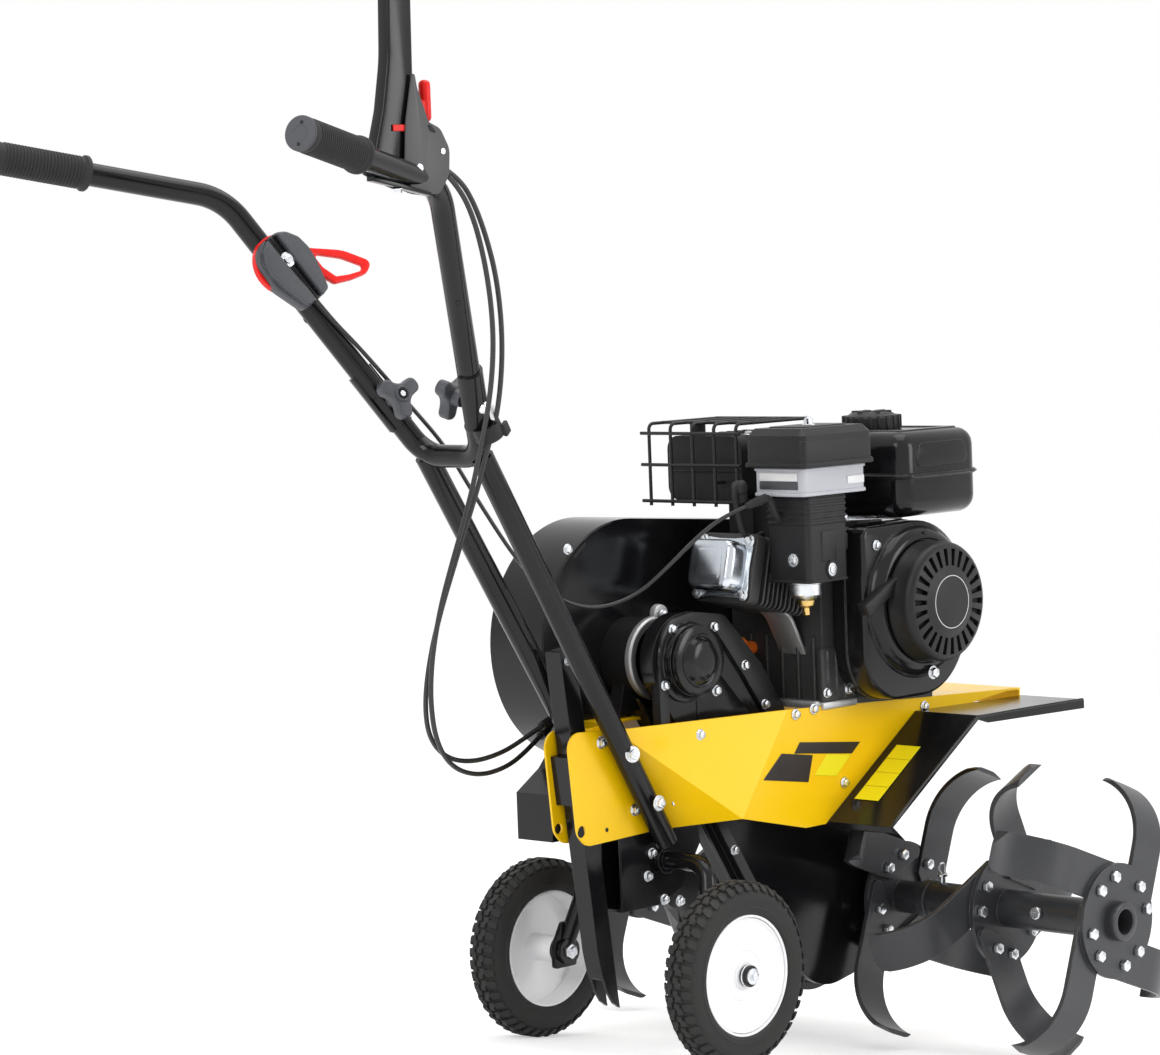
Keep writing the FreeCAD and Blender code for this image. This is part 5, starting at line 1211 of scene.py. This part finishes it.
def dress_clutch_lever():
    """Two cheeks clamped to the right bar, with the tall lever folded from sheet between them."""
    x, z = -499.3, 956.6

    def upright(outline, level, thick, edge, steps=2):
        return plate([(x + across, z + up) for across, up in outline], thick,
                     rightward((0, level, 0)), edge, steps)

    low, high = reach("clutch_lever")
    top = high.z - z
    side = rounded([(-41, top, 5), (-7, top, 5), (-9, 127, 200), (-10, 84, 60), (-16, 44, 20), (-22, 20, 10),
                    (-42, 15, 12), (-69, 9, 3), (-68, 30, 20), (-55, 73, 60), (-45, 127, 200)], 8)
    lever = upright(side, high.y, high.y - low.y, 2.6, 3)
    front = [face for face in lever.faces if face.normal.x > 0.75 and face.calc_center_median().z > z + 30
             and abs(face.normal.y) < 0.2]
    bmesh.ops.inset_region(lever, faces=front, thickness=2.0, depth=0)
    bmesh.ops.inset_region(lever, faces=front, thickness=0.3, depth=-20)
    finished("lever_arm", gloss_black, [lever], ["clutch_lever"], 40)
    foot = [(-86, 14, 2), (-84, 4, 2), (-60, -6, 3), (-34, -14, 4), (-20, 4, 8), (-36, 14, 12), (-66, 18, 10)]
    cheek = rounded([(-13, 122, 3), (-8, 96, 30), (1, 75, 16), (7, 60, 5), (24, 53, 16), (37, 31, 22),
                     (35, 2, 18), (19, -19, 10), (0, -17, 10), (-24, -10, 10), (-31, 13, 12),
                     (-27, 60, 40)], 8)
    cheeks = [upright(cheek, -204.6, 2.4, 0.9), upright(cheek, -180.9, 2.4, 0.9),
              upright(rounded(foot), -196, 3, 0.9),
              block((x - 8, -204.5, z - 16), (x + 16, -183, z - 13), 1)]
    finished("lever_cheeks", satin_grey, cheeks, ["lever_bracket"])
    low_strap = [upright([(-80, 2), (-80, -3), (-40, -11), (4, -20), (4, -16), (-40, -6)], -198, 12, 0.8)]
    finished("lever_strap", gloss_black, low_strap)
    pins = [turned([(0, 0), (5, 0), (5, 1.2), (4.2, 2), (0, 2.4)], facing((x - 10, -207, z + 10), right), 20),
            hex_bolt((x - 40, -204, z - 11), (0, 0, -1), 4.4, 1.3),
            turned([(0, 0), (3.4, 0), (3.4, 1), (0, 1.4)], facing((x + 26, -207, z + 28), right), 16)]
    finished("lever_pins", zinc, pins)
    button = [block((x + 9, -199, z + 60), (x + 22, -187, z + 106), 5.6, 4),
              block((x + 4, -198, z + 56), (x + 14, -188, z + 84), 2, 2),
              block((x - 44, -204.8, z + 50), (x - 16, -203.6, z + 57), 0.5, 1)]
    finished("lever_button", red_plastic, button)
    # A thin near-black sliver on the cheek just under the red button: painted shade.
    shade = upright(rounded([(4, 58, 2), (8, 50, 2), (20, 46, 3), (10, 56, 2)]), -206.9, 0.5, 0.1, 1)
    finished("lever_sliver_shade", painted_hole_shade, [shade])


def dress_throttle():
    """A pear-shaped housing on the left bar, with a red ring under it and a looped thumb lever."""
    spot, along = bar_way(1)
    across, inward = square_to_bar(1)
    seat = facing(spot + along * 190 + inward * 9.5, inward, across)
    pear = rounded([(-33, 33, 32), (33, 33, 32), (33, -20, 24), (19, -58, 8), (-21, -58, 8),
                    (-36, -18, 24)], 10)
    half = [(7.5, 32.5, 2), (20, 27, 12), (30, 13, 14), (32.5, -4, 14), (30, -22, 20), (19, -56, 7),
            (6, -57, 3)]
    shells = [plate(pear, 14, seat, 2.4, 3)]
    shells += [plate(rounded([(sign * x, y, radius) for x, y, radius in half], 8), 9, seat @ up_by(12),
                     2.6, 4) for sign in (-1, 1)]
    finished("throttle_case", knob_grey, shells, ["throttle_control"], 40)
    groove = plate(rounded([(-8, 33, 3), (8, 33, 3), (7, -58, 3), (-7, -58, 3)]), 6,
                   seat @ up_by(9.6), 1)
    spine = block((-1.4, -57, 14), (1.4, 32, 17), 1, 2, seat)
    clamp = turned([(15.6, -16), (17.5, -15), (17.5, 15), (15.6, 16)],
                   facing(spot + along * 168 + inward * 0.5, along), 40)
    finished("throttle_groove", gloss_black, [groove, spine, clamp])
    ring = turned([(20, -2), (35.6, -2), (36.4, -1), (36.4, 5.4), (35.6, 6.4), (20, 6.4)],
                  seat @ Matrix.Translation((-2, -1, 0)), 56)
    outer = rounded([(24, 10, 4), (44, -8, 16), (77, -33, 60), (101, -66, 8), (84, -73, 14), (62, -67, 30),
                     (40, -58, 6), (26, -30, 8)], 6)
    inner = rounded([(40, -18, 4), (47, -20, 8), (70, -40, 40), (88, -64, 4), (80, -66, 4), (63, -60, 10),
                     (47, -52, 4), (40, -34, 6)], 6)
    loop = ring_plate(outer, inner, 7, seat, 1.2)
    finished("throttle_thumb_lever", red_plastic, [ring, loop])
    finished("throttle_screw", zinc, [
        turned([(0, 15.5), (9, 15.5), (9, 17), (6, 17.4), (5.6, 20.6), (4.4, 21.4), (2, 21.2), (1.4, 20),
                (0, 20)], seat, 24)])


def dress_tubes():
    """The strap that ties the cables to the right tube, a white patch of painted highlight beside it, and the
    bars' spare bolt holes as dark discs of painted shade.
    """
    foot, along = bar_way(-1)
    low_along = (foot - Vector((26, -35.3, 146))).normalized()
    middle = foot - low_along * 50
    strap = turned([(14.6, -10), (17.4, -9.5), (17.9, 0), (17.4, 9.5), (14.6, 10)],
                   facing(middle, low_along), 40)
    end = block((-4, -3, -8), (9, 3, 8), 2.4, 3,
                facing(middle + Vector((14, -14, 0)), low_along, (1, 0.3, 0)))
    finished("cable_strap", black_plastic, [strap, end])
    # A small white patch on the right tube beside the strap: a painted highlight, not a part.
    highlight_patch = plate(rectangle((-5, -9), (5, 9), 4.6), 1.2,
                facing(middle + low_along * 22 + Vector((4, -14.6, 2)), (0.1, -1, 0.1), (1, 0, 0)), 0.4)
    finished("tube_highlight_patch", plate_white, [highlight_patch])
    rearward = Vector((-0.66, -0.75, 0))
    toward = (rearward - along * along.dot(rearward)).normalized()
    holes = []
    for sign, at in ((-1, 140), (1, 120)):
        start, way = bar_way(sign)
        out = Vector((toward.x, toward.y * -sign, toward.z))
        holes.append(disc(3.6, 0, 1.0, facing(start + way * at + out * 13, out), 18))
    # Spare bolt holes drawn as near-black discs: painted shade.
    finished("bar_hole_shade", painted_hole_shade, holes)


for side, sign in (("right", -1), ("left", 1)):
    dress_grip(side, sign)
    dress_knob(side, sign)
dress_clutch_lever()
dress_throttle()
dress_tubes()


# ---------------------------------------------------------------- tines and depth bar
def dress_tines():
    """Two bolts and nuts through every tine's root, the sockets' rims and the pins of the shaft."""
    phase = math.radians(24)
    end = -reach("tines_outer_right")[0].y
    for side, sign in (("right", -1), ("left", 1)):
        fixings = []
        for level, first, ways in ((60, 0, (1,) * 4), (232, 45, (1, -1) * 2), (403, 0, (-1,) * 4)):
            for i, way in enumerate(ways):
                for off in (-16.5, 16.5):
                    angle = phase + math.radians(first + 90 * i + off)
                    x, z = tine_x + 57 * math.cos(angle), tine_z + 57 * math.sin(angle)
                    front, rear = (9, 3) if way > 0 else (3, 9)
                    fixings.append(hex_bolt((x, sign * (level + front - 0.4), z), (0, sign, 0), 7.4, 0))
                    fixings.append(hex_bolt((x, sign * (level - rear + 0.4), z), (0, -sign, 0), 7.2, 0, 3))
        finished("tine_bolts_" + side, zinc, fixings, body="tine_rotor")
        out = Vector((0, sign, 0))
        rim = turned([(16.4, -12), (22, -12), (24.6, -10), (24.8, -2), (24, 0), (22.6, 0.8), (18, 0.8),
                      (16.4, -0.4)], facing((tine_x, sign * end, tine_z), out), 44)
        collars = [turned([(21, -5), (25, -5), (26.4, -3.5), (26.4, 3.5), (25, 5), (21, 5)],
                          facing((tine_x, sign * level, tine_z), out), 40) for level in (112, 384)]
        finished("tine_sockets_" + side, tine_grey, [rim] + collars, body="tine_rotor")
        # A near-black disc deep in the socket: painted shade for the bore.
        finished("tine_bore_shade_" + side, painted_hole_shade,
                 [disc(15.8, 0, 1, facing((tine_x, sign * (end - 28), tine_z), out), 36)], body="tine_rotor")
        pin_y = sign * 130
        pin = [rod((tine_x, pin_y, tine_z - 31), (tine_x, pin_y, tine_z + 34), 4, 0.6),
               turned([(0, 0), (7, 0), (7, 3), (6, 4), (0, 4)],
                      facing((tine_x, pin_y, tine_z + 32), (0, 0, 1)), 20),
               wire([(tine_x - 2, pin_y, tine_z + 36), (tine_x - 9, pin_y, tine_z + 44),
                     (tine_x - 2, pin_y, tine_z + 51), (tine_x + 6, pin_y, tine_z + 46),
                     (tine_x + 5, pin_y, tine_z + 36)], 1.3),
               rod((tine_x - 28, sign * 300, tine_z + 4), (tine_x + 28, sign * 300, tine_z - 4), 4.6, 0.6),
               turned([(0, 0), (8, 0), (8, 4), (7, 5), (0, 5)],
                      facing((tine_x - 26, sign * 300, tine_z + 3.7), (-1, 0, 0.14)), 20)]
        finished("shaft_pins_" + side, zinc, pin, body="tine_rotor")


def dress_depth_bar():
    """The stop bolts at the bar's top."""
    low, high = reach("depth_bar")
    finished("depth_bar_stops", zinc, [
        hex_bolt((low.x + 12, 13 * sign, high.z - 14), (0, sign, 0), 4.6, 1.3) for sign in (-1, 1)],
             body="depth_bar")


def dress_shelf():
    """The cross plate between the flanges that the bearing's foot is bolted to."""
    shelf = [block((-14, 24, 291), (120, 62, 294.5), 0.8, 2), block((-14, 22, 272), (-11, 62, 293), 0.8, 2)]
    finished("bearing_shelf", yellow, shelf)
    finished("shelf_bolts", zinc, [hex_bolt((58, 40, 294.4), (0, 0, 1), 5, 1.4),
                                   hex_bolt((6, 40, 294.4), (0, 0, 1), 5, 1.4)])


dress_tines()
dress_depth_bar()
dress_shelf()


# ---------------------------------------------------------------- floor and light
def lay_floor():
    ground = bmesh.new()
    bmesh.ops.create_grid(ground, x_segments=1, y_segments=1, size=30)
    mesh = bpy.data.meshes.new("floor")
    ground.to_mesh(mesh)
    ground.free()
    floor = bpy.data.objects.new("floor", mesh)
    everything.link(floor)
    material = bpy.data.materials.new("pale_floor")
    material.use_nodes = True
    tree = material.node_tree
    shader = tree.nodes["Principled BSDF"]
    shader.inputs["Roughness"].default_value = 0.9
    shader.inputs["Specular IOR Level"].default_value = 0.1
    place = tree.nodes.new("ShaderNodeTexCoord").outputs["Object"]
    tone = add_mix(tree, add_noise(tree, place, 1.5), (0.90, 0.90, 0.90), (0.86, 0.86, 0.87))
    rays = tree.nodes.new("ShaderNodeLightPath")
    shown = add_math(tree, "MAXIMUM", rays.outputs["Is Camera Ray"],
                     add_math(tree, "MAXIMUM", rays.outputs["Is Glossy Ray"],
                              rays.outputs["Is Transmission Ray"]))
    wire_up(tree, [(tone, shader.inputs["Base Color"]),
                   (add_math(tree, "MULTIPLY", shown, 0.42), shader.inputs["Emission Strength"])])
    shader.inputs["Emission Color"].default_value = (1, 1, 1, 1)
    mesh.materials.append(material)


def light_world():
    world = bpy.data.worlds.new("studio")
    bpy.context.scene.world = world
    world.use_nodes = True
    tree = world.node_tree
    tree.nodes.clear()
    rays = tree.nodes.new("ShaderNodeLightPath")
    shown = add_math(tree, "MAXIMUM", rays.outputs["Is Camera Ray"], rays.outputs["Is Transmission Ray"])
    level = add_math(tree, "MAXIMUM", shown, rays.outputs["Is Glossy Ray"])
    strength = add_range(tree, level, 0.0, 1.0, 0.80, 1.0)
    sky = tree.nodes.new("ShaderNodeBackground")
    sky.inputs["Color"].default_value = (1, 1, 1, 1)
    end = tree.nodes.new("ShaderNodeOutputWorld")
    wire_up(tree, [(strength, sky.inputs["Strength"]), (sky.outputs[0], end.inputs[0])])


def hang_lamp(name, place, aim, size, watts):
    lamp = bpy.data.lights.new(name, "AREA")
    lamp.shape, lamp.size, lamp.size_y, lamp.energy = "RECTANGLE", size[0], size[1], watts
    holder = bpy.data.objects.new(name, lamp)
    holder.matrix_world = (Matrix.Translation(place)
                           @ (Vector(place) - Vector(aim)).to_track_quat("Z", "Y").to_matrix().to_4x4())
    everything.link(holder)


lay_floor()
light_world()
hang_lamp("overhead", (0.2, -0.2, 3.2), (0, 0, 0.4), (2.6, 2.0), 34)
hang_lamp("behind_camera_left", (-3.4, -0.6, 2.2), (0, 0, 0.6), (1.4, 1.8), 36)
hang_lamp("right_side", (1.8, -3.2, 1.6), (0.1, 0, 0.5), (1.2, 1.8), 34)
bpy.context.scene.view_settings.view_transform = "Standard"
